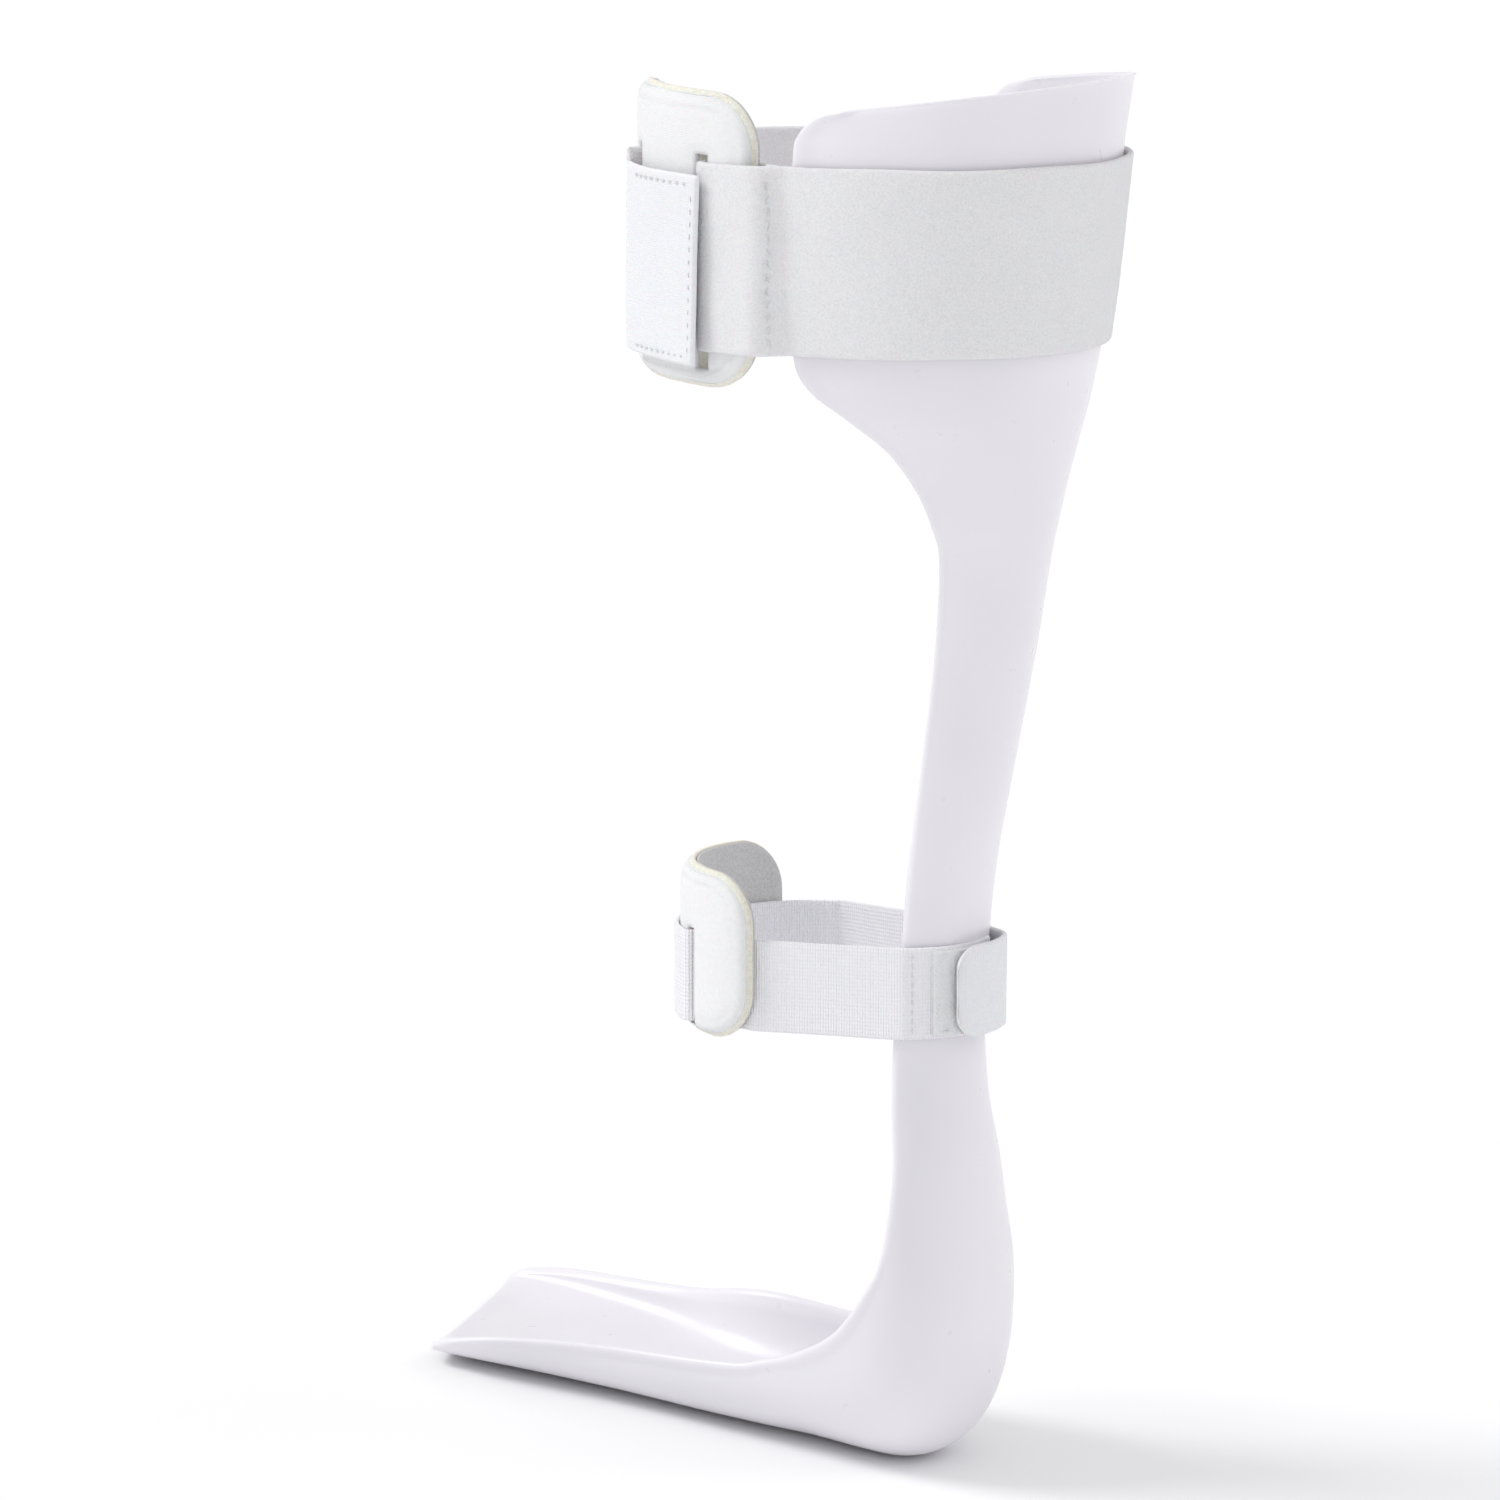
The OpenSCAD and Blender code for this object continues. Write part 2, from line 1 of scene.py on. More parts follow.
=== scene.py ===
"""Looks of a posterior leaf-spring ankle foot orthosis: moulded shell, padded calf strap, padded ankle strap.

Lengths in the tables below are in millimetres, in the frame of the CAD model; meshes are in metres.
"""

import json
import math

import bmesh
import bpy
import numpy as np
from mathutils import Matrix, Vector, noise


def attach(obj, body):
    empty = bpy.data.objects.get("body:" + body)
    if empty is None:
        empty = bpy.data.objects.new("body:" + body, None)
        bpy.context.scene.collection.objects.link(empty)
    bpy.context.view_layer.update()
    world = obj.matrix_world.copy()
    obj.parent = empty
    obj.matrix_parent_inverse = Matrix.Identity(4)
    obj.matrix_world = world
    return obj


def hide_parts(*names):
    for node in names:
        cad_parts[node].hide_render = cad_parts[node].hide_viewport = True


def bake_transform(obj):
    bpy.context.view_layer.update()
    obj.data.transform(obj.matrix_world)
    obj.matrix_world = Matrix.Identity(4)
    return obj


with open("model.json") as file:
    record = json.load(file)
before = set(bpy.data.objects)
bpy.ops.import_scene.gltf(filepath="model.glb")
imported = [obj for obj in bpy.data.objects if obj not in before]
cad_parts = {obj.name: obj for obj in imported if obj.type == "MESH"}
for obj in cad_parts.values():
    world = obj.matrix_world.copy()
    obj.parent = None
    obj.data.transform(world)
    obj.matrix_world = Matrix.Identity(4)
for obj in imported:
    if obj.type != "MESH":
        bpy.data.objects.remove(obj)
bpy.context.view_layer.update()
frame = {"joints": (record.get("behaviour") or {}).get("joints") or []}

MM = 0.001
LEAN = math.radians(7)          # forward lean of the leg frame

# Driving sizes, the same as the CAD model's
CUFF_TOP, CUFF_W, CUFF_D = 375.0, 107.0, 63.5
STRUT_W, HEEL_W, FOOT_L, TIP_W, WALL = 40.0, 66.0, 131.0, 76.0, 3.2
CALF_STRAP_W, CALF_STRAP_T, CALF_D, CALF_PAD_H = 50.0, 1.8, 61.5, 78.0
ANKLE_STRAP_W, ANKLE_STRAP_T, ANKLE_Z, ANKLE_W, ANKLE_PAD_H = 25.0, 1.4, 130.5, 60.0, 45.0
FOAM_T, CLOTH_T = 2.8, 1.1
GAP, LAYER_GAP, HOOK_T = 0.3, 0.05, 0.9
HOOK_ROOM = GAP + HOOK_T + 0.2
PAD_T = FOAM_T + 2 * CLOTH_T + 2 * LAYER_GAP


# ---------------------------------------------------------------- helpers

def mix(a, b, k):
    return a + (b - a) * k


def smooth(k):
    c = min(1.0, max(0.0, k))
    return c * c * (3 - 2 * c)


def corner_inset(d, r):
    """How far a rounded corner of radius r draws in at a distance d from the end of an edge."""
    return 0.0 if d >= r else r - math.sqrt(max(0.0, r * r - (r - d) ** 2))


def leg(x, z):
    return (x * math.cos(LEAN) - z * math.sin(LEAN), x * math.sin(LEAN) + z * math.cos(LEAN))


def leg3(x, y, z):
    """A point of the leg frame, in metres in the model's frame."""
    gx, gz = leg(x, z)
    return Vector((gx * MM, y * MM, gz * MM))


def catmull(p, n_per):
    """Points of a smooth curve through rows p, n_per to each span."""
    p = np.array(p, float)
    rows = []
    last = len(p) - 1
    for i in range(last):
        a, b, c, d = p[max(0, i - 1)], p[i], p[i + 1], p[min(last, i + 2)]
        for f in np.arange(n_per) / n_per:
            rows.append(0.5 * (2 * b + (c - a) * f + (2 * a - 5 * b + 4 * c - d) * f * f
                               + (3 * b - a - 3 * c + d) * f ** 3))
    rows.append(p[-1])
    return np.array(rows)


def make_mesh(name, verts, faces, material, uvs=None):
    me = bpy.data.meshes.new(name)
    me.from_pydata([tuple(v) for v in verts], [], faces)
    if uvs is not None:
        layer = me.uv_layers.new(name="route")
        loops = np.zeros(len(me.loops), np.int32)
        me.loops.foreach_get("vertex_index", loops)
        layer.data.foreach_set("uv", np.asarray(uvs, np.float32)[loops].ravel())
    me.materials.append(material)
    bm = bmesh.new()
    bm.from_mesh(me)
    bmesh.ops.remove_doubles(bm, verts=bm.verts, dist=2e-6)
    bmesh.ops.dissolve_degenerate(bm, edges=bm.edges, dist=1e-7)
    bmesh.ops.recalc_face_normals(bm, faces=bm.faces)
    bm.to_mesh(me)
    bm.free()
    me.shade_smooth()
    obj = bpy.data.objects.new(name, me)
    bpy.context.scene.collection.objects.link(obj)
    return obj


def loft(name, rings, material, caps=True, uvs=None):
    """Closed tube through rings of the same number of points."""
    n, m = len(rings[0]), len(rings)
    verts = [v for r in rings for v in r]
    faces = []
    for j in range(m - 1):
        for i in range(n):
            a, b = j * n + i, j * n + (i + 1) % n
            faces.append((a, b, b + n, a + n))
    if caps:
        h = n // 2
        for base in (0, (m - 1) * n):
            for i in range(h - 1):
                faces.append((base + i, base + i + 1, base + n - 2 - i, base + n - 1 - i))
    return make_mesh(name, verts, faces, material, uvs)


# ---------------------------------------------------------------- materials

class Nodes:
    """A short way to write a procedural material."""

    def __init__(self, name, color, roughness):
        self.mat = bpy.data.materials.new(name)
        self.mat.use_nodes = True
        self.tree = self.mat.node_tree
        self.shader = self.tree.nodes["Principled BSDF"]
        self.shader.inputs["Base Color"].default_value = (*color, 1)
        self.shader.inputs["Roughness"].default_value = roughness
        self.coords = self.tree.nodes.new("ShaderNodeTexCoord").outputs["Object"]
        self.height = None

    def link(self, a, b):
        self.tree.links.new(a, b)

    def uv(self):
        node = self.tree.nodes.new("ShaderNodeUVMap")
        node.uv_map = "route"
        return node.outputs["UV"]

    def noise(self, scale, detail=3.0, coords=None, rough=0.55):
        node = self.tree.nodes.new("ShaderNodeTexNoise")
        node.inputs["Scale"].default_value = scale
        node.inputs["Detail"].default_value = detail
        node.inputs["Roughness"].default_value = rough
        self.link(coords or self.coords, node.inputs["Vector"])
        return node.outputs["Fac"]

    def voronoi(self, scale, coords=None):
        node = self.tree.nodes.new("ShaderNodeTexVoronoi")
        node.inputs["Scale"].default_value = scale
        self.link(coords or self.coords, node.inputs["Vector"])
        return node.outputs["Distance"]

    def wave(self, scale, axis, coords, distortion=0.0):
        node = self.tree.nodes.new("ShaderNodeTexWave")
        node.bands_direction = axis
        node.inputs["Scale"].default_value = scale
        node.inputs["Distortion"].default_value = distortion
        self.link(coords, node.inputs["Vector"])
        return node.outputs["Fac"]

    def ramp(self, fac, stops):
        node = self.tree.nodes.new("ShaderNodeValToRGB")
        self.link(fac, node.inputs["Fac"])
        elements = node.color_ramp.elements
        while len(elements) < len(stops):
            elements.new(0.5)
        for element, (place, color) in zip(elements, stops):
            element.position = place
            element.color = (*color, 1) if len(color) == 3 else color
        return node.outputs["Color"]

    def math(self, op, a, b):
        node = self.tree.nodes.new("ShaderNodeMath")
        node.operation = op
        for socket, value in zip(node.inputs, (a, b)):
            if isinstance(value, (int, float)):
                socket.default_value = value
            else:
                self.link(value, socket)
        return node.outputs["Value"]

    def map_range(self, fac, low, high, to_low, to_high):
        node = self.tree.nodes.new("ShaderNodeMapRange")
        for key, value in (("From Min", low), ("From Max", high), ("To Min", to_low), ("To Max", to_high)):
            node.inputs[key].default_value = value
        self.link(fac, node.inputs["Value"])
        return node.outputs["Result"]

    def bump(self, height, distance, strength=1.0):
        node = self.tree.nodes.new("ShaderNodeBump")
        node.inputs["Distance"].default_value = distance
        node.inputs["Strength"].default_value = strength
        self.link(height, node.inputs["Height"])
        if self.height is not None:
            self.link(self.height, node.inputs["Normal"])
        self.height = node.outputs["Normal"]
        self.link(self.height, self.shader.inputs["Normal"])
        return self

    def color(self, output):
        self.link(output, self.shader.inputs["Base Color"])
        return self

    def set(self, **values):
        for key, value in values.items():
            self.shader.inputs[key.replace("_", " ")].default_value = value
        return self


def shell_material():
    n = Nodes("polypropylene", (0.80, 0.79, 0.82), 0.34)
    n.color(n.ramp(n.noise(14, 2), [(0.3, (0.765, 0.75, 0.79)), (0.7, (0.82, 0.805, 0.84))]))
    n.link(n.map_range(n.noise(160, 4), 0.3, 0.7, 0.27, 0.40), n.shader.inputs["Roughness"])
    n.bump(n.noise(900, 2), 0.00003, 0.4)
    return n.set(Subsurface_Weight=0.3, Subsurface_Scale=0.006, Subsurface_Radius=(1.0, 0.95, 1.0),
                 Coat_Weight=0.12, Coat_Roughness=0.2, IOR=1.49).mat


def loop_material():
    n = Nodes("loop_pile", (0.86, 0.85, 0.90), 0.85)
    fibres = n.noise(1700, 6, rough=0.75)
    glints = n.voronoi(620)
    tones = [(0.30, (0.83, 0.825, 0.86)), (0.50, (0.95, 0.945, 0.965)), (0.64, (1.0, 1.0, 1.0))]
    n.color(n.ramp(fibres, tones))
    n.link(n.map_range(glints, 0.0, 0.5, 0.35, 0.95), n.shader.inputs["Roughness"])
    n.bump(fibres, 0.0006, 0.9)
    n.bump(n.noise(420, 4, rough=0.7), 0.0007, 0.6)
    return n.set(Sheen_Weight=0.55, Sheen_Roughness=0.4, Subsurface_Weight=0.12, Subsurface_Scale=0.002).mat


def webbing_material():
    n = Nodes("ribbed_webbing", (0.87, 0.86, 0.91), 0.7)
    uv = n.uv()
    ribs = n.wave(430, "X", uv, 0.5)
    picks = n.wave(300, "Y", uv, 0.8)
    weave = n.math("MULTIPLY", n.math("ADD", ribs, 0.4), n.math("ADD", picks, 1.2))
    n.color(n.ramp(weave, [(0.1, (0.83, 0.82, 0.865)), (0.9, (0.95, 0.945, 0.975))]))
    n.bump(weave, 0.0002, 0.7)
    n.bump(n.noise(2600, 3), 0.0001, 0.6)
    return n.set(Sheen_Weight=0.35, Sheen_Roughness=0.4).mat


def cloth_material(name, color, scale, depth):
    n = Nodes(name, color, 0.62)
    uv = n.uv()
    weave = n.math("MAXIMUM", n.wave(scale, "X", uv, 0.4), n.wave(scale, "Y", uv, 0.4))
    shade = tuple(c * 0.95 for c in color)
    n.color(n.ramp(n.noise(900, 4), [(0.3, shade), (0.7, color)]))
    n.bump(weave, depth, 0.8)
    n.bump(n.noise(130, 3), 0.0004, 0.5)
    return n.set(Sheen_Weight=0.25, Sheen_Roughness=0.35, Subsurface_Weight=0.08, Subsurface_Scale=0.002).mat


def foam_material():
    n = Nodes("cream_foam", (0.90, 0.86, 0.74), 0.85)
    n.color(n.ramp(n.noise(700, 5), [(0.3, (0.80, 0.765, 0.66)), (0.7, (0.90, 0.875, 0.79))]))
    n.bump(n.voronoi(2200), 0.0003, 0.8)
    return n.set(Subsurface_Weight=0.2, Subsurface_Scale=0.003).mat


def felt_material():
    n = Nodes("grey_felt", (0.66, 0.66, 0.66), 0.95)
    n.color(n.ramp(n.noise(1300, 6, rough=0.8), [(0.3, (0.60, 0.60, 0.60)), (0.7, (0.92, 0.92, 0.92))]))
    n.bump(n.noise(2100, 5, rough=0.8), 0.0006, 1.0)
    return n.set(Sheen_Weight=0.6, Sheen_Roughness=0.5).mat


def hook_material():
    n = Nodes("hook_tape", (0.72, 0.72, 0.74), 0.5)
    uv = n.uv()
    grid = n.math("MULTIPLY", n.wave(520, "X", uv), n.wave(520, "Y", uv))
    n.color(n.ramp(grid, [(0.05, (0.60, 0.60, 0.63)), (0.5, (0.86, 0.86, 0.90))]))
    n.bump(grid, 0.0005, 1.0)
    return n.set(Sheen_Weight=0.2, Sheen_Roughness=0.3).mat


def thread_material():
    n = Nodes("thread", (0.90, 0.90, 0.92), 0.5)
    n.color(n.ramp(n.noise(3000, 3), [(0.3, (0.92, 0.92, 0.94)), (0.7, (1.0, 1.0, 1.0))]))
    n.bump(n.wave(3500, "DIAGONAL", n.coords, 1.0), 0.00012, 0.8)
    return n.set(Sheen_Weight=0.2, Sheen_Roughness=0.3).mat


SHELL = shell_material()
LOOP = loop_material()
WEBBING = webbing_material()
TAB = cloth_material("tab_cloth", (0.845, 0.85, 0.875), 520, 0.00012)
COVER = cloth_material("pad_cover", (0.86, 0.86, 0.865), 700, 0.00008)
FOAM = foam_material()
FELT = felt_material()
HOOK = hook_material()
THREAD = thread_material()


# ---------------------------------------------------------------- shell

EAR_TOP, EAR_R, EAR_X, EAR_LOW = CUFF_TOP - 7, 12.0, -3.5, CUFF_TOP - 70
CUFF_Z = EAR_TOP - EAR_R
TAPER = (0.115, 0.033, 0.058)
STRUT_TOP, STRUT_LOW = EAR_LOW - 58, 98.0
SOLE = 0.0


def cuff_back(z):
    return EAR_X + CUFF_D - (CUFF_Z - z) * TAPER[0]


def cuff_front(z):
    return EAR_X - (CUFF_Z - z) * TAPER[1]


def cuff_half(z):
    return CUFF_W / 2 - (CUFF_Z - z) * TAPER[2]


def leg_row(back, trim, half, arc):
    return [*leg(*back), *leg(*trim), half, arc, 2]


def cuff_row(z):
    return leg_row((cuff_back(z), z), (cuff_front(z), z), cuff_half(z), 90)


def corner_row(a):
    s, c = math.sin(math.radians(a)), math.cos(math.radians(a))
    rim = CUFF_Z + (CUFF_TOP - CUFF_Z) * s
    return leg_row((cuff_back(rim), rim), (EAR_X + EAR_R * (1 - c), CUFF_Z + EAR_R * s),
                   CUFF_W / 2 - 2.5 * (1 - c), 90 - 14 * (1 - c))


def sweep_row(drop, x, back, w, arc):
    z = EAR_LOW - drop
    return leg_row((back, z), (x, z), mix(STRUT_W / 2, cuff_half(EAR_LOW), w), arc)


def strut_row(k, back, x, w):
    z = mix(STRUT_TOP, STRUT_LOW, k)
    return leg_row((back, z), (x, z), STRUT_W / 2 * w, 66)


def heel_row(back, trim, w, arc):
    return [*back, *trim, HEEL_W / 2 * w, arc, 2.3]


def sole_row(k, lift, wall_top, w, square):
    return [-k * FOOT_L, lift, -k * FOOT_L - 7 * (1 - k) ** 2, wall_top,
            mix(HEEL_W / 2, TIP_W / 2, w), 90, square]


ROWS = [
    corner_row(90), corner_row(60), corner_row(30), cuff_row(CUFF_Z),
    cuff_row(mix(CUFF_Z, EAR_LOW, 0.5)), cuff_row(EAR_LOW),
    sweep_row(10, -1.5, 52.2, 0.95, 88), sweep_row(18, 7.5, 50.6, 0.80, 82),
    sweep_row(27, 15.5, 48.8, 0.55, 76), sweep_row(38, 20.3, 46.5, 0.32, 71),
    sweep_row(48, 22.4, 44.6, 0.17, 68), strut_row(0, 42.8, 22.9, 1.09),
    strut_row(0.17, 38.4, 20.8, 1.03), strut_row(0.36, 32.6, 16.8, 1), strut_row(0.57, 26.2, 12.6, 1),
    strut_row(0.76, 22.9, 10.4, 1.03), strut_row(0.88, 22, 9.5, 1.1), strut_row(1, 22.6, 10.2, 1.2),
    leg_row((24, 82), (12.2, 83), HEEL_W / 2 * 0.83, 72),
    leg_row((25.6, 66), (11.8, 67), HEEL_W / 2 * 0.93, 78),
    heel_row((20.6, 53), (3.2, 58), 0.98, 82), heel_row((22.9, 39), (0.3, 50.5), 1, 86),
    heel_row((23.3, 26), (-3, 44), 1, 89), heel_row((20.8, 13.5), (-6.5, 38.8), 1, 90),
    heel_row((15.5, 5), (-10.8, 34.7), 0.99, 90), heel_row((8, 0.8), (-15.8, 31.2), 0.98, 90),
    heel_row((-2, SOLE), (-21.5, 27.8), 0.965, 90), heel_row((-18, SOLE), (-29, 24.6), 0.945, 90),
    sole_row(0.25, SOLE, 21.8, -0.44, 2.6), sole_row(0.40, SOLE, 19.2, -0.4, 2.9),
    sole_row(0.56, SOLE, 17.3, -0.2, 3), sole_row(0.72, SOLE, 15.2, 0.4, 3),
    sole_row(0.87, SOLE, 12.2, 0.95, 3), sole_row(0.96, 0.3, 8.8, 1.02, 3), sole_row(1, 1.2, 6, 0.9, 3)]


def arch(x, z):
    return 0.0 if z > 20 else math.exp(-((x + 0.43 * FOOT_L) / 26) ** 2)


def shell_point(r, t, o):
    """A point of the shell: t runs from -1 (lateral trim) to 1 (medial trim), o is inward."""
    side = 1 if t > 0 else 0
    bump = arch(r[0], r[1]) * side
    dx, dz = r[2] - r[0], r[3] - r[1]
    d = math.hypot(dx, dz)
    ux, uz = dx / d, dz / d
    full = math.radians(r[5])
    a, e = abs(t) * full, 2 / r[6]
    n_c, n_s = max(0.0, math.cos(a)) ** e, max(0.0, math.sin(a)) ** e
    big_w = (r[4] - 4 * bump) / math.sin(full) ** e
    big_d = (d + 6 * bump) / (1 - max(0.0, math.cos(full)) ** e)
    y = (big_w - o) * n_s * (-1 if t < 0 else 1)
    q = o + (big_d - o) * (1 - n_c)
    reach = smooth((-r[0] / FOOT_L - 0.6) / 0.4) * 10
    x = r[0] + ux * q - reach * (y / (TIP_W / 2) + 0.6)
    return np.array([x, y, max(r[1] + uz * q, 0.0 if o < WALL / 2 else -9)])


def shell_ring(r, flare):
    """Mid-surface points and half-thickness vectors round one section, with rounded trim edges."""
    steps = 64
    probe = [shell_point(r, t, WALL / 2) for t in (0.96, 1.0)]
    pull = 0.04 * (WALL / 2) / max(0.3, np.linalg.norm(probe[1] - probe[0]))
    crowd = 0.82                # how far the points crowd toward the trim edges
    spread = np.linspace(-1, 1, steps + 1) * math.pi / 2 * crowd
    ts = np.sin(spread) / math.sin(math.pi / 2 * crowd) * (1 - pull)
    mids, halves = [], []
    for t in ts:
        lip = 0.9 * smooth((abs(t) - 0.93) / 0.07) + flare
        outer, inner = shell_point(r, t, -lip), shell_point(r, t, WALL - lip)
        mids.append((outer + inner) / 2)
        halves.append((outer - inner) / 2)
    return mids, halves


def shell_outline(mids, halves, squeeze, push):
    """Closed outline: outer face, round edge, inner face, round edge."""
    out, inn = [], []
    for m, h in zip(mids, halves):
        out.append(m + h * squeeze + push)
        inn.append(m - h * squeeze + push)

    def edge(m, h, e):
        size = np.linalg.norm(h)
        return [m + h * math.cos(f) * squeeze + e * size * math.sin(f) * squeeze + push
                for f in np.linspace(0, math.pi, 8)[1:-1]]

    e1 = mids[-1] - mids[-2]
    e0 = mids[0] - mids[1]
    e1, e0 = e1 / np.linalg.norm(e1), e0 / np.linalg.norm(e0)
    right = edge(mids[-1], halves[-1], e1)
    left = edge(mids[0], halves[0], e0)
    near, far = left[:3][::-1], left[3:][::-1]      # start mid-edge, so that the ends close straight across
    return near + out + right + inn[::-1] + far


def build_shell():
    rows = catmull(ROWS, 8)
    rings, mids_all = [], []
    for i, r in enumerate(rows):
        top = smooth(1 - i / 26) * 1.3          # the cuff's rim rolls outward
        mids_all.append(shell_ring(r, top))
    for (mids, halves) in mids_all:
        rings.append(shell_outline(mids, halves, 1, 0))

    def rim(at, beyond):
        mids, halves = mids_all[at]
        step = np.mean(mids, axis=0) - np.mean(mids_all[beyond][0], axis=0)
        step = step / np.linalg.norm(step)
        return [shell_outline(mids, halves, math.cos(f), step * WALL / 2 * math.sin(f))
                for f in np.linspace(0, math.pi / 2, 7)[1:]]

    rings = rim(0, 3)[::-1] + rings + rim(-1, -4)
    rings = [[p * MM for p in ring] for ring in rings]
    obj = loft("shell", rings, SHELL)
    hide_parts("shell_calf", "shell_foot")
    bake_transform(obj)
    return obj


build_shell()


# ---------------------------------------------------------------- strap routes, in the leg frame

CALF_HALF = CUFF_W / 2 - 3.2
CALF_LIFT = CALF_STRAP_T + 2 * GAP
CALF_OUT = CALF_LIFT + PAD_T
CALF_OVER = CALF_OUT + GAP + 0.25 + CALF_STRAP_T / 2       # the real pad is crowned
CUFF_OVER = HOOK_ROOM + CALF_STRAP_T / 2 - 0.6      # the real strap lies snug on the shell
IN_MID = GAP + CALF_STRAP_T / 2
SLOT_A = (67.5, 34.0)
SLOT_HALF = 2.2
CALF_Z = (CUFF_TOP - 46 - CALF_STRAP_W / 2, CUFF_TOP - 46 + CALF_STRAP_W / 2)
SEAM_A = 86.5
FLAP_A = (SLOT_A[1] + 3.6, 73.0)
FLAP_INNER = CALF_OUT + GAP + 2 * HOOK_T + 0.4
FLAP_MID = FLAP_INNER + CALF_STRAP_T / 2
FLAP_Z = (CALF_Z[0] - 3.5, CALF_Z[1] - 3.5)


def calf_point(a, o):
    a = math.radians(a)
    return np.array([EAR_X - 1 - (CALF_D + o) * math.cos(a), -(CALF_HALF + o) * math.sin(a)])


def cuff_point(a, z, o):
    a = math.radians(a)
    return np.array([cuff_front(z) - (cuff_back(z) - cuff_front(z) + o) * math.cos(a),
                     -(cuff_half(z) + o) * math.sin(a)])


def beside(z):
    return cuff_half(z) + CUFF_OVER - CALF_HALF


def calf_mid(a, z):
    if 90 < a < 270:
        return cuff_point(a, z, CUFF_OVER)
    if a <= 90:
        return calf_point(a, strap_top(a, z))
    return calf_point(a, mix(beside(z), IN_MID, smooth((a - 270) / 25)))


def calf_strap_route(z):
    s = SLOT_A
    return ([calf_point(s[0], CALF_LIFT + 0.6), calf_point(s[0], CALF_OVER - 1.7),
             calf_point(s[0] + 0.5, CALF_OVER - 0.5), calf_point(s[0] + 1.6, CALF_OVER)]
            + [calf_mid(a, z) for a in range(71, 81, 3)] + [calf_mid(a, z) for a in range(82, 91)]
            + [calf_mid(a, z) for a in range(95, 386, 5)]
            + [calf_point(s[1] - 3, IN_MID), calf_point(s[1] - 1.3, IN_MID + 0.3),
               calf_point(s[1] - 0.5, IN_MID + 1.5), calf_point(s[1] - 0.3, CALF_OUT - 0.5),
               calf_point(s[1], FLAP_MID - 1.8), calf_point(s[1] + 0.6, FLAP_MID - 0.4),
               calf_point(s[1] + 1.6, FLAP_MID)])


def strap_top(a, z):
    return mix(beside(z), CALF_OVER, smooth((90 - a) / 7.5))


def calf_fold_route(z):
    rows = [calf_point(a, IN_MID) for a in np.arange(SLOT_A[0] - 0.5, 80.5, 2.5)]
    for a in np.arange(81.6, SEAM_A + 0.91, 0.8):
        k = smooth((90 - a) / 7.5)
        under = strap_top(a, z) - (CALF_STRAP_T + 0.2) * (1 + 3 * k * (1 - k))
        rows.append(calf_point(a, mix(IN_MID, under, smooth((a - 82.7) / 3.4))))
    return rows


ANKLE_C, ANKLE_D, ANKLE_HALF = -22.0, 34.0, ANKLE_W / 2
STRUT_C, STRUT_D = 1.2, 21.4
STRUT_H = STRUT_W / 2 * 1.05 / math.sin(math.radians(66))
ANKLE_LIFT = ANKLE_STRAP_T + 2 * GAP
ANKLE_OUT = ANKLE_LIFT + PAD_T
ANKLE_OVER = ANKLE_OUT + GAP + 0.35 + ANKLE_STRAP_T / 2    # the real pad is crowned
STRUT_OVER = HOOK_ROOM + ANKLE_STRAP_T / 2 - 0.5
ANKLE_IN = GAP + ANKLE_STRAP_T / 2
ASLOT_A = (48.5, -8.0)
ASLOT_HALF = 3.0
TAB_START, TAB_END, TAB_R = -46.0, 29.0, 7.0
ANKLE_ZS = (ANKLE_Z - ANKLE_STRAP_W / 2, ANKLE_Z + ANKLE_STRAP_W / 2)


def ankle_point(a, o):
    a = math.radians(a)
    return np.array([ANKLE_C - (ANKLE_D + o) * math.cos(a), -(ANKLE_HALF + o) * math.sin(a)])


def strut_point(a, o):
    a = math.radians(a)
    return np.array([STRUT_C + (STRUT_D + o) * math.cos(a), -(STRUT_H + o) * math.sin(a)])


def side_run(a, b):
    return [mix(a, b, i / 5) for i in range(1, 5)]


def ankle_route():
    """Round the strut's back, under the pad's lateral margin, over its bridge, under its medial margin."""
    o, i, hi, lo = ANKLE_OVER, ANKLE_IN, ASLOT_A[0], ASLOT_A[1]
    lat = (strut_point(64, STRUT_OVER), ankle_point(82, i))
    med = (ankle_point(-70, i), strut_point(-62, STRUT_OVER))
    return ([strut_point(a, STRUT_OVER) for a in range(-14, 59, 6)] + [lat[0], *side_run(*lat), lat[1]]
            + [ankle_point(a, i) for a in range(76, 52, -6)]
            + [ankle_point(hi + 2, i), ankle_point(hi + 0.8, i + 0.5), ankle_point(hi + 0.2, i + 1.6),
               ankle_point(hi - 0.2, o - 1.6), ankle_point(hi - 0.8, o - 0.5), ankle_point(hi - 2, o)]
            + [ankle_point(a, o) for a in range(42, -3, -6)]
            + [ankle_point(lo + 2, o), ankle_point(lo + 0.8, o - 0.5), ankle_point(lo + 0.2, o - 1.6),
               ankle_point(lo - 0.2, i + 1.6), ankle_point(lo - 0.8, i + 0.5), ankle_point(lo - 2, i)]
            + [ankle_point(a, i) for a in range(-16, -65, -8)] + [med[0], *side_run(*med), med[1]]
            + [strut_point(-56, STRUT_OVER), strut_point(TAB_START - 3, STRUT_OVER)])


STRAP_FACE = STRUT_OVER + ANKLE_STRAP_T / 2
PATCH_MID = STRAP_FACE + 0.1 + HOOK_T / 2
TAB_HOOK_MID = STRAP_FACE + 0.1 + HOOK_T + 0.15 + HOOK_T / 2
TAB_MID = TAB_HOOK_MID + HOOK_T / 2 + 0.1 + ANKLE_STRAP_T / 2


def tab_route():
    rise = [strut_point(a, mix(STRUT_OVER, TAB_MID, smooth((a - TAB_START) / 26)))
            for a in range(int(TAB_START) - 2, -13, 4)]
    flat = [strut_point(a, TAB_MID) for a in range(-10, int(TAB_END), 4)]
    return rise + flat + [strut_point(TAB_END, TAB_MID)]


# ---------------------------------------------------------------- straps

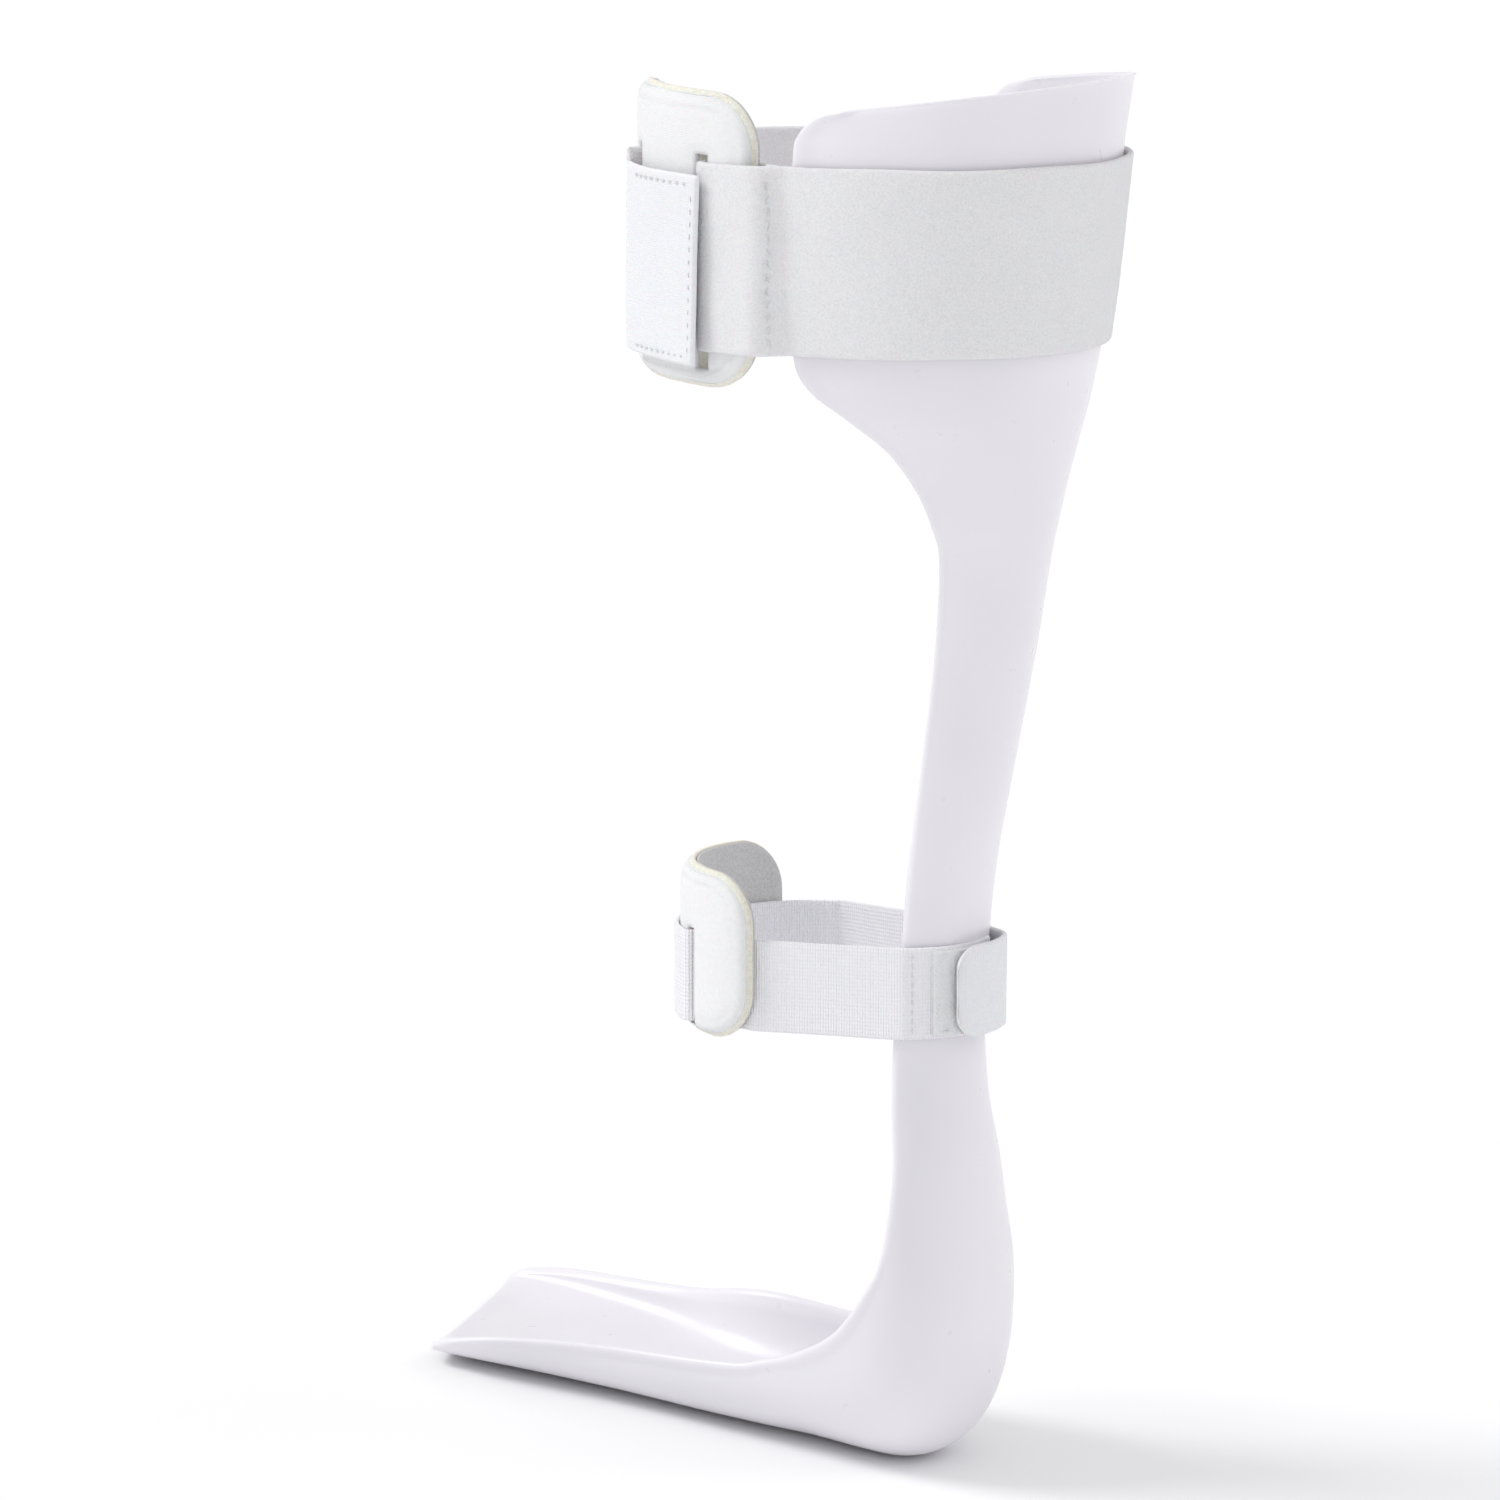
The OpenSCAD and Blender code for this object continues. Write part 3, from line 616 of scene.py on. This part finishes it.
def resample(low, high, step):
    """Both edges of a route, smoothed and laid out at even steps along the lower edge."""
    rows = catmull(np.hstack([np.array(low), np.array(high)]), 12)
    run = np.concatenate([[0], np.cumsum(np.linalg.norm(np.diff(rows[:, :2], axis=0), axis=1))])
    even = np.linspace(0, run[-1], max(8, int(run[-1] / step) + 1))
    cols = [np.interp(even, run, rows[:, i]) for i in range(4)]
    return np.column_stack(cols), even


def normals_of(p):
    d = np.gradient(p, axis=0)
    d /= np.linalg.norm(d, axis=1)[:, None]
    return np.column_stack([d[:, 1], -d[:, 0]])


WAVE_SCALE = 0.05           # waves for each millimetre of a strap
EDGE_WAVE_SCALE = 0.045
FUZZ_SCALE = 1.1


def ripple(p, z, seed, wavy):
    """How far a strap's surface waves outward at a point."""
    return wavy * noise.noise(Vector((p[0] * WAVE_SCALE, p[1] * WAVE_SCALE + seed, z * WAVE_SCALE)))


ROUND_STEPS = 4             # points from the side of a strap's edge to its face
TIP_SHARE = 0.25            # thickness left at a strap's very ends


def strap(name, low, high, zs, t, material, step=0.9, across=40, fuzz=0.0, wavy=0.0, seed=0.0, ends=None,
          sag=None):
    """A flat strap along a route between two heights, with rounded edges and a soft surface.

    low and high are the route at the two heights zs, and step and across set the size of its mesh.
    ends(u, length) gives how far, as a share of the width, each edge pulls in at length u, and
    sag(u, length, share) how far the surface moves outward, in millimetres."""
    rows, run = resample(low, high, step)
    n1, n2 = normals_of(rows[:, :2]), normals_of(rows[:, 2:])
    width = zs[1] - zs[0]
    shares = []
    cut = t / 2 / width
    for f in np.linspace(0, math.pi / 2, ROUND_STEPS)[:-1]:
        shares.append((cut * (1 - math.cos(f)), math.sin(f)))
    for k in np.linspace(cut, 1 - cut, across):
        shares.append((k, 1.0))
    for f in np.linspace(math.pi / 2, 0, ROUND_STEPS)[1:]:
        shares.append((1 - cut * (1 - math.cos(f)), math.sin(f)))
    rings, uvs = [], []
    length = run[-1]
    for i, u in enumerate(run):
        ring, uv = [], []
        cap = min(u, length - u)
        thin = math.sqrt(max(0.0, 1 - (1 - min(1.0, cap / (t / 2))) ** 2)) if cap < t / 2 else 1.0
        thin = max(thin, TIP_SHARE)
        pull = ends(u, length) if ends else 0.0
        for face in (1, -1):
            line = shares if face == 1 else shares[::-1]
            for w, full in line:
                share = pull + w * (1 - 2 * pull)
                z = mix(zs[0], zs[1], share)
                p = mix(rows[i, :2], rows[i, 2:], share)
                n = mix(n1[i], n2[i], share)
                n = n / np.linalg.norm(n)
                off = face * t / 2 * full * thin
                if wavy:
                    off += ripple(p, z, seed, wavy)
                    z += wavy * 0.8 * noise.noise(Vector((u * EDGE_WAVE_SCALE + seed, w * 2, 7)))
                if fuzz and full == 1.0:
                    spot = Vector((p[0] * FUZZ_SCALE, p[1] * FUZZ_SCALE, z * FUZZ_SCALE + seed))
                    off += face * fuzz * noise.noise(spot)
                if sag:
                    off += sag(u, length, share)
                q = p + n * off
                ring.append(leg3(q[0], q[1], z))
                uv.append((u * MM, w * width * MM))
        rings.append(ring)
        uvs.extend(uv)
    return loft(name, rings, material, uvs=uvs)


STRAP_WAVE, STRAP_SEED = 0.45, 3.0
FLAP_WAVE, FLAP_SEED = 0.5, 11.0
FLAP_START = SLOT_A[1] + 1.2


def level(route):
    """The two edges of a strap whose route is the same at every height."""
    return route, route


def own(obj, body, slot, *nodes):
    """Hang a piece on a body and name the CAD nodes that it stands for, which are hidden; its slot is not
    used.
    """
    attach(obj, body)
    if nodes:
        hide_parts(*nodes)
    return obj


def peel_span(joint_name, point, start, offset, before, after):
    """Where a closure starts and stops bending, in millimetres before and after its joint."""
    joint = next(j for j in frame["joints"] if j["name"] == joint_name)
    at = Vector(joint["pos_m"])
    p, q = point(start, offset), point(start + 5, offset)
    along = Vector((q[0] - p[0], q[1] - p[1], 0)).normalized()
    return at - along * (before * MM), at + along * (after * MM)


def build_calf_strap():
    obj = strap("calf_strap", calf_strap_route(CALF_Z[0]), calf_strap_route(CALF_Z[1]), CALF_Z, CALF_STRAP_T,
                LOOP, step=0.8, across=56, fuzz=0.16, wavy=STRAP_WAVE, seed=STRAP_SEED)
    own(obj, "calf", "loop_strap", "calf_strap")
    fold = strap("calf_strap_fold", calf_fold_route(CALF_Z[0]), calf_fold_route(CALF_Z[1]), CALF_Z,
                 CALF_STRAP_T, LOOP, across=30, fuzz=0.08, seed=5.0)
    own(fold, "calf", "loop_strap", "calf_strap_fold")


def build_shell_hooks():
    """The patches are pressed to half their thickness under the snug straps."""
    zs = (CALF_Z[0] + 7, CALF_Z[1] - 7)
    low, high = ([cuff_point(a, z, 0.12 + HOOK_T / 4) for a in range(152, 209, 4)] for z in zs)
    patch = strap("calf_shell_hook", low, high, zs, HOOK_T / 2, HOOK, across=20)
    own(patch, "calf", "hook", "calf_shell_hook")
    route = [strut_point(a, GAP + HOOK_T / 4) for a in range(-12, 43, 3)]
    patch = strap("ankle_shell_hook", *level(route), (ANKLE_ZS[0] + 3, ANKLE_ZS[1] - 9), HOOK_T / 2, HOOK,
                  across=16)
    own(patch, "calf", "hook", "ankle_shell_hook")


def flap_lift(u, length, share):
    """How far the flap stands off: at its free end, more at the lower corner, and at its folded hem."""
    lift_from, end_lift, corner_lift = 0.55, 1.0, 1.3
    hem_width, hem_height, hem_slope = 4.4, 0.3, 0.5
    k = smooth((u / length - lift_from) / (1 - lift_from))
    hem = hem_height * smooth((hem_width - (length - u)) / hem_slope)
    return k * (end_lift + corner_lift * (1 - share)) + hem


def build_flap():
    route = [calf_point(a, FLAP_MID) for a in np.arange(FLAP_START, FLAP_A[1] + 0.01, 2.55)]
    flap = strap("calf_flap", *level(route), FLAP_Z, CALF_STRAP_T, TAB, step=0.5, across=48, wavy=FLAP_WAVE,
                 fuzz=0.05, seed=FLAP_SEED, sag=flap_lift)
    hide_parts("calf_flap")
    start, end = peel_span("calf_flap_peel", calf_point, FLAP_A[0], FLAP_MID, before=1.5, after=3.5)
    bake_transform(flap)
    spots = np.arange(FLAP_A[0] + 3, SLOT_A[0] - SLOT_HALF, 3)
    route = [calf_point(a, FLAP_INNER - 0.15 - HOOK_T) for a in spots]
    hook = strap("calf_flap_hook", *level(route), (FLAP_Z[0] + 3, FLAP_Z[1] - 3), 1.7 * HOOK_T, HOOK,
                 across=24)
    own(hook, "flap", "hook", "calf_flap_hook")


def build_ankle_strap():
    obj = strap("ankle_strap", *level(ankle_route()), ANKLE_ZS, ANKLE_STRAP_T, WEBBING, step=0.7, across=26,
                wavy=0.3, seed=21.0)
    own(obj, "calf", "webbing", "ankle_strap")
    patch = strap("ankle_loop_patch", *level([strut_point(a, PATCH_MID) for a in range(0, 43, 6)]),
                  (ANKLE_ZS[0] + 1, ANKLE_ZS[1] - 1), HOOK_T, LOOP, step=0.5, across=40, fuzz=0.3, seed=31.0)
    own(patch, "calf", "loop_patch", "ankle_loop_patch")

    def round_end(u, length):
        return corner_inset(length - u, TAB_R) / ANKLE_STRAP_W

    tab = strap("ankle_tab", *level(tab_route()), ANKLE_ZS, ANKLE_STRAP_T, TAB, step=0.35, across=30,
                wavy=0.3, fuzz=0.04, seed=41.0, ends=round_end)
    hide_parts("ankle_tab")
    start, end = peel_span("ankle_tab_peel", strut_point, TAB_START, STRUT_OVER, before=1.0, after=3.0)
    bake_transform(tab)
    hook = strap("ankle_tab_hook", *level([strut_point(a, TAB_HOOK_MID) for a in range(2, 23, 4)]),
                 (ANKLE_ZS[0] + 2, ANKLE_ZS[1] - 2), HOOK_T, HOOK, across=16)
    own(hook, "tab", "hook", "ankle_tab_hook")


# ---------------------------------------------------------------- stitches

def stitch_row(name, line, body, *nodes, length, pitch, thick):
    """Threads along a line of (point, outward) pairs; each dips into the cloth at its ends."""
    pts = np.array([tuple(p) for p, _ in line])
    outs = np.array([tuple(o) for _, o in line])
    run = np.concatenate([[0], np.cumsum(np.linalg.norm(np.diff(pts, axis=0), axis=1))])
    verts, faces = [], []
    sides, steps = 7, 8         # round a thread, and along it
    at = pitch * MM * 0.3
    while at + length * MM < run[-1]:
        centre, normal = [], []
        for k in range(steps + 1):
            s = at + length * MM * k / steps
            centre.append(np.array([np.interp(s, run, pts[:, i]) for i in range(3)]))
            normal.append(np.array([np.interp(s, run, outs[:, i]) for i in range(3)]))
        base = len(verts)
        for k in range(steps + 1):
            f = k / steps
            tangent = centre[min(k + 1, steps)] - centre[max(k - 1, 0)]
            tangent /= np.linalg.norm(tangent)
            n = normal[k] / np.linalg.norm(normal[k])
            b = np.cross(tangent, n)
            r = thick * MM * (0.35 + 0.65 * math.sin(math.pi * f) ** 0.5)
            c = centre[k] + n * (thick * MM * (1.5 * math.sin(math.pi * f) - 1.0))
            for j in range(sides):
                a = 2 * math.pi * j / sides
                verts.append(c + n * r * math.cos(a) + b * r * math.sin(a))
        for k in range(steps):
            for j in range(sides):
                a0, a1 = base + k * sides + j, base + k * sides + (j + 1) % sides
                faces.append((a0, a1, a1 + sides, a0 + sides))
        faces.append(tuple(range(base, base + sides)))
        faces.append(tuple(range(base + steps * sides, base + (steps + 1) * sides)))
        at += pitch * MM
    obj = make_mesh(name, verts, faces, THREAD)
    return own(obj, body, "thread", *nodes)


def normal_at(point_fn, a):
    p, q = point_fn(a, 0.0), point_fn(a, 1.0)
    d = q - p
    d = d / np.linalg.norm(d)
    return Vector(leg3(d[0], d[1], 0)).normalized()


def place_on(point, a, offset, z):
    """A point on a curved face, and the way out of it."""
    p = point(a, offset)
    return leg3(p[0], p[1], z), normal_at(point, a)


def build_calf_stitches():
    """The row that holds the turned-back end of the calf strap."""
    sunk = 0.86                 # the thread's height, as a share of the strap's thickness
    line = []
    for z in np.linspace(CALF_Z[0] + 1.5, CALF_Z[1] - 1.5, 40):
        a = SEAM_A + 0.35 * math.sin(z * 1.6)           # hand-guided, so it wavers
        wave = ripple(calf_point(a, strap_top(a, z)), z, STRAP_SEED, STRAP_WAVE)
        line.append(place_on(calf_point, a, strap_top(a, z) + CALF_STRAP_T * sunk + wave, z))
    stitch_row("calf_strap_stitches", line, "calf", "calf_strap_stitches", length=2.8, pitch=3.9, thick=0.46)


def build_flap_stitches():
    """The seam round the flap's free edges, following its lift."""
    thread_out, arc_share = 0.22, 0.93      # the flap's arc is this share of a round one's
    face = FLAP_MID + CALF_STRAP_T / 2 + thread_out
    length = math.radians(FLAP_A[1] - FLAP_START) * (CALF_D + FLAP_MID) * arc_share

    def on_flap(a, z):
        u = (a - FLAP_START) / (FLAP_A[1] - FLAP_START) * length
        wave = ripple(calf_point(a, FLAP_MID), z, FLAP_SEED, FLAP_WAVE)
        return place_on(calf_point, a, face + flap_lift(u, length, (z - FLAP_Z[0]) / CALF_STRAP_W) + wave, z)

    hem, inset = FLAP_A[1] - 3.6, 2.4
    along = np.linspace(FLAP_A[0] + 6, hem - 1, 30)
    rows = {"calf_flap_hem": [(hem, z) for z in np.linspace(FLAP_Z[0] + 2, FLAP_Z[1] - 2, 30)],
            "calf_flap_lower": [(a, FLAP_Z[0] + inset) for a in along],
            "calf_flap_upper": [(a, FLAP_Z[1] - inset) for a in along]}
    for name, spots in rows.items():
        nodes = ("calf_flap_stitches",) if name == "calf_flap_hem" else ()
        stitch_row(name + "_stitches", [on_flap(a, z) for a, z in spots], "flap", *nodes,
                   length=2.4, pitch=3.3, thick=0.28)


def build_ankle_stitches():
    """One row across the ankle strap and one along each edge of its loop patch."""
    across = np.linspace(ANKLE_ZS[0] + 1, ANKLE_ZS[1] - 1, 24)
    line = [place_on(strut_point, 55, STRAP_FACE, z) for z in across]
    stitch_row("ankle_strap_stitches", line, "calf", "ankle_strap_stitches",
               length=1.9, pitch=2.5, thick=0.22)
    edge = PATCH_MID + HOOK_T / 2 + 0.25
    for i, z in enumerate((ANKLE_ZS[0] + 2.2, ANKLE_ZS[1] - 2.2)):
        line = [place_on(strut_point, a, edge, z) for a in np.linspace(30, 41.5, 12)]
        stitch_row("ankle_patch_stitches_%d" % i, line, "calf", length=1.9, pitch=2.6, thick=0.22)


# ---------------------------------------------------------------- pads

class Pad:
    """A curved pad: angles and heights of its outline, two slots, and its layers."""

    def __init__(self, point, angles, zs, radius, corner, slots, slot_half, slot_zs, lift):
        self.point, self.angles, self.zs, self.radius, self.corner = point, angles, zs, radius, corner
        self.slots, self.slot_half, self.slot_zs, self.lift = sorted(slots), slot_half, slot_zs, lift

    def edge(self, s, z):
        """Distance in mm inside the rounded outline at arc length s and height z."""
        half_w = math.radians(self.angles[1] - self.angles[0]) * self.radius / 2
        half_h = (self.zs[1] - self.zs[0]) / 2
        x = abs(s - half_w) - (half_w - self.corner)
        y = abs(z - (self.zs[0] + self.zs[1]) / 2) - (half_h - self.corner)
        return self.corner - (math.hypot(max(x, 0), max(y, 0)) + min(max(x, y), 0))

    def slot_distance(self, a, z):
        """Distance in mm from the nearest slot at angle a and height z."""
        best = 99.0
        for s in self.slots:
            x = (abs(a - s) - self.slot_half) * math.radians(1) * self.radius
            y = max(self.slot_zs[0] - z, z - self.slot_zs[1])
            best = min(best, math.hypot(max(x, 0), max(y, 0)))
        return best

    def layer(self, name, material, low, high, trim, pitch=1.1):
        """A closed sheet between low(edge, slot) and high(edge, slot), both in mm off the leg."""
        a0, a1 = self.angles
        turn = math.degrees(1 / self.radius)
        stops = [a0 + trim * turn]
        for s in self.slots:
            stops += [s - self.slot_half, s + self.slot_half]
        stops.append(a1 - trim * turn)
        levels = [self.zs[0] + trim, self.slot_zs[0], self.slot_zs[1], self.zs[1] - trim]

        def cut(stops, unit):
            """Even marks that keep every stop, and which span each step between them lies in."""
            marks, spans = [stops[0]], []
            for i, (p, q) in enumerate(zip(stops, stops[1:])):
                n = max(2, int(abs(q - p) * unit / pitch))
                spans += [i] * n
                marks += [mix(p, q, (k + 1) / n) for k in range(n)]
            return marks, spans

        us, span_of = cut(stops, 1 / turn)
        fine = [0.02, 0.08, 0.2, 0.38, 0.62]            # closer rows where the corners turn fastest
        r = self.corner - trim
        extra = [levels[0] + r * k for k in fine] + [levels[-1] - r * k for k in fine]
        zs = sorted(set(cut(levels, 1.0)[0]) | set(extra))
        beside_slot = [self.slot_zs[0] <= (p + q) / 2 <= self.slot_zs[1] for p, q in zip(zs, zs[1:])]
        middle, reach = (stops[0] + stops[-1]) / 2, (stops[-1] - stops[0]) / 2

        def place(u, z):
            """Draw a row in to the rounded outline: all of it near the ends, its margins beside slots."""
            inset = corner_inset(min(z - levels[0], levels[-1] - z), r) * turn
            whole = middle + (u - middle) * (1 - inset / reach)
            part = u
            if u < stops[1]:
                part = stops[1] - (stops[1] - u) * (1 - min(0.9, inset / (stops[1] - stops[0])))
            elif u > stops[-2]:
                part = stops[-2] + (u - stops[-2]) * (1 - min(0.9, inset / (stops[-1] - stops[-2])))
            clear = max(levels[1] - z, z - levels[2], 0.0)
            return mix(part, whole, smooth(clear / 3.5))

        nu, nv = len(us), len(zs)
        verts, uvs = [], []
        for side in (0, 1):
            for z in zs:
                for u in us:
                    a = place(u, z)
                    s = math.radians(a - a0) * self.radius
                    e = max(0.0, self.edge(s, z) - trim)
                    o = (high if side else low)(e, self.slot_distance(a, z))
                    wob = 0.12 * noise.noise(Vector((s * 0.12, z * 0.12, self.radius + side)))
                    p = self.point(a, o + self.lift + wob)
                    verts.append(leg3(p[0], p[1], z))
                    uvs.append((math.radians(u) * self.radius * MM, z * MM))
        faces = []

        def solid(i, j):
            return 0 <= i < nu - 1 and 0 <= j < nv - 1 and not (span_of[i] in (1, 3) and beside_slot[j])

        def at(side, i, j):
            return side * nu * nv + j * nu + i

        for j in range(nv - 1):
            for i in range(nu - 1):
                if not solid(i, j):
                    continue
                faces.append((at(1, i, j), at(1, i + 1, j), at(1, i + 1, j + 1), at(1, i, j + 1)))
                faces.append((at(0, i, j), at(0, i, j + 1), at(0, i + 1, j + 1), at(0, i + 1, j)))
                for di, dj, p, q in ((-1, 0, (i, j), (i, j + 1)), (1, 0, (i + 1, j), (i + 1, j + 1)),
                                     (0, -1, (i, j), (i + 1, j)), (0, 1, (i, j + 1), (i + 1, j + 1))):
                    if not solid(i + di, j + dj):
                        faces.append((at(0, *p), at(0, *q), at(1, *q), at(1, *p)))
        return make_mesh(name, verts, faces, material, uvs)


def build_pad(prefix, pad, crown, rim_drop, seam_at):
    """Lining, foam and cover; e is the distance in from the outline and s from the nearest slot."""
    foam_top = CLOTH_T + LAYER_GAP + FOAM_T
    crown_width, slot_width, rim_width = 7.0, 5.0, 2.6
    seam_depth, seam_width = 0.42, 0.55

    def swell(e, s):
        """The pad is thick in the middle and pulled in at edges and slots."""
        k = smooth(e / crown_width) * smooth(s / slot_width + 0.25)
        return crown * k - rim_drop * (1 - smooth(e / rim_width))

    def seam(e):
        """The sewn line round the cover."""
        return seam_depth * math.exp(-((e - seam_at) / seam_width) ** 2)

    def rim(e, width):
        """1 on the outline, falling to 0 this width inside it."""
        return 1 - smooth(e / width)

    def cover_top(e, s):
        return foam_top + LAYER_GAP + CLOTH_T * (0.45 + 0.55 * smooth(e / 1.1)) + swell(e, s) - seam(e)

    lining = pad.layer(prefix + "_pad_lining", FELT, lambda e, s: 0.25 * rim(e, 1.2),
                       lambda e, s: CLOTH_T - 0.1 * rim(e, 1.0), trim=0.35)
    foam = pad.layer(prefix + "_pad_foam", FOAM, lambda e, s: CLOTH_T + 0.02 + 0.3 * rim(e, 0.9),
                     lambda e, s: foam_top + swell(e, s) - 0.35 - 0.35 * rim(e, 0.9), trim=0.0)
    cover = pad.layer(prefix + "_pad_cover", COVER, lambda e, s: foam_top + swell(e, s) - 0.3 - seam(e),
                      cover_top, trim=1.1)
    for obj, slot in ((lining, "pad_lining"), (foam, "pad_foam"), (cover, "pad_cover")):
        own(obj, "calf", slot, prefix + "_" + slot)


def build_pads():
    top = CALF_Z[1] + 18
    calf = Pad(calf_point, angles=(15.0, 82.0), zs=(top - CALF_PAD_H, top), radius=62.0, corner=15.0,
               slots=SLOT_A, slot_half=SLOT_HALF, slot_zs=(FLAP_Z[0] - 1.5, CALF_Z[1] + 1.5), lift=CALF_LIFT)
    build_pad("calf", calf, crown=0.5, rim_drop=0.9, seam_at=3.4)
    low = ANKLE_Z - 0.34 * ANKLE_PAD_H
    ankle = Pad(ankle_point, angles=(-42.0, 82.5), zs=(low, low + ANKLE_PAD_H), radius=38.0, corner=14.0,
                slots=ASLOT_A, slot_half=ASLOT_HALF, slot_zs=(ANKLE_ZS[0] - 0.75, ANKLE_ZS[1] + 0.75),
                lift=ANKLE_LIFT)
    build_pad("ankle", ankle, crown=0.4, rim_drop=0.8, seam_at=2.8)


build_calf_strap()
build_shell_hooks()
build_flap()
build_ankle_strap()
build_calf_stitches()
build_flap_stitches()
build_ankle_stitches()
build_pads()


# ---------------------------------------------------------------- floor, light and camera

def floor_material():
    n = Nodes("pale_floor", (0.93, 0.93, 0.94), 0.9)
    n.color(n.ramp(n.noise(3, 2), [(0.3, (0.925, 0.925, 0.93)), (0.7, (0.94, 0.94, 0.945))]))
    return n.set(Specular_IOR_Level=0.1).mat


def build_stage():
    bpy.ops.mesh.primitive_plane_add(size=40, location=(0, 0, -0.0002))
    floor = bpy.context.object
    floor.name = "floor"
    floor.data.materials.append(floor_material())
    world = bpy.data.worlds.new("studio")
    bpy.context.scene.world = world
    world.use_nodes = True
    sky = world.node_tree.nodes["Background"]
    sky.inputs["Color"].default_value = (0.985, 0.985, 1.0, 1)
    sky.inputs["Strength"].default_value = 0.76
    # name, place in metres, strength, and softness in degrees
    lamps = (("key", (-1.7, -1.0, 1.8), 1.35, 24),
             ("back", (1.4, 1.5, 1.6), 0.35, 35))
    for name, place, strength, softness in lamps:
        light = bpy.data.lights.new(name, "SUN")
        light.energy, light.angle = strength, math.radians(softness)
        lamp = bpy.data.objects.new(name, light)
        lamp.location = place
        lamp.rotation_euler = (-lamp.location).to_track_quat("-Z", "Y").to_euler()
        bpy.context.scene.collection.objects.link(lamp)


def build_camera():
    """Lateral and a little behind and above, rolled so that the leg stands upright in the picture."""
    azimuth, elevation, distance = math.radians(30), math.radians(10), 2.4
    back = Vector((math.sin(azimuth) * math.cos(elevation), -math.cos(azimuth) * math.cos(elevation),
                   math.sin(elevation)))
    right = Vector((math.cos(azimuth), math.sin(azimuth), 0))
    lean = Matrix.Rotation(-LEAN, 3, "Y")
    back, right = lean @ back, lean @ right
    up = back.cross(right)
    target = leg3(-47.0, 0, 188.0)
    data = bpy.data.cameras.new("camera")
    data.lens, data.sensor_width, data.clip_end = 213, 36, 60       # mm, mm, m
    cam = bpy.data.objects.new("camera", data)
    turn = Matrix((right, up, back)).transposed().to_4x4()
    cam.matrix_world = Matrix.Translation(target + back * distance) @ turn
    bpy.context.scene.collection.objects.link(cam)
    bpy.context.scene.camera = cam


build_stage()
build_camera()
bpy.context.scene.view_settings.view_transform = "Standard"
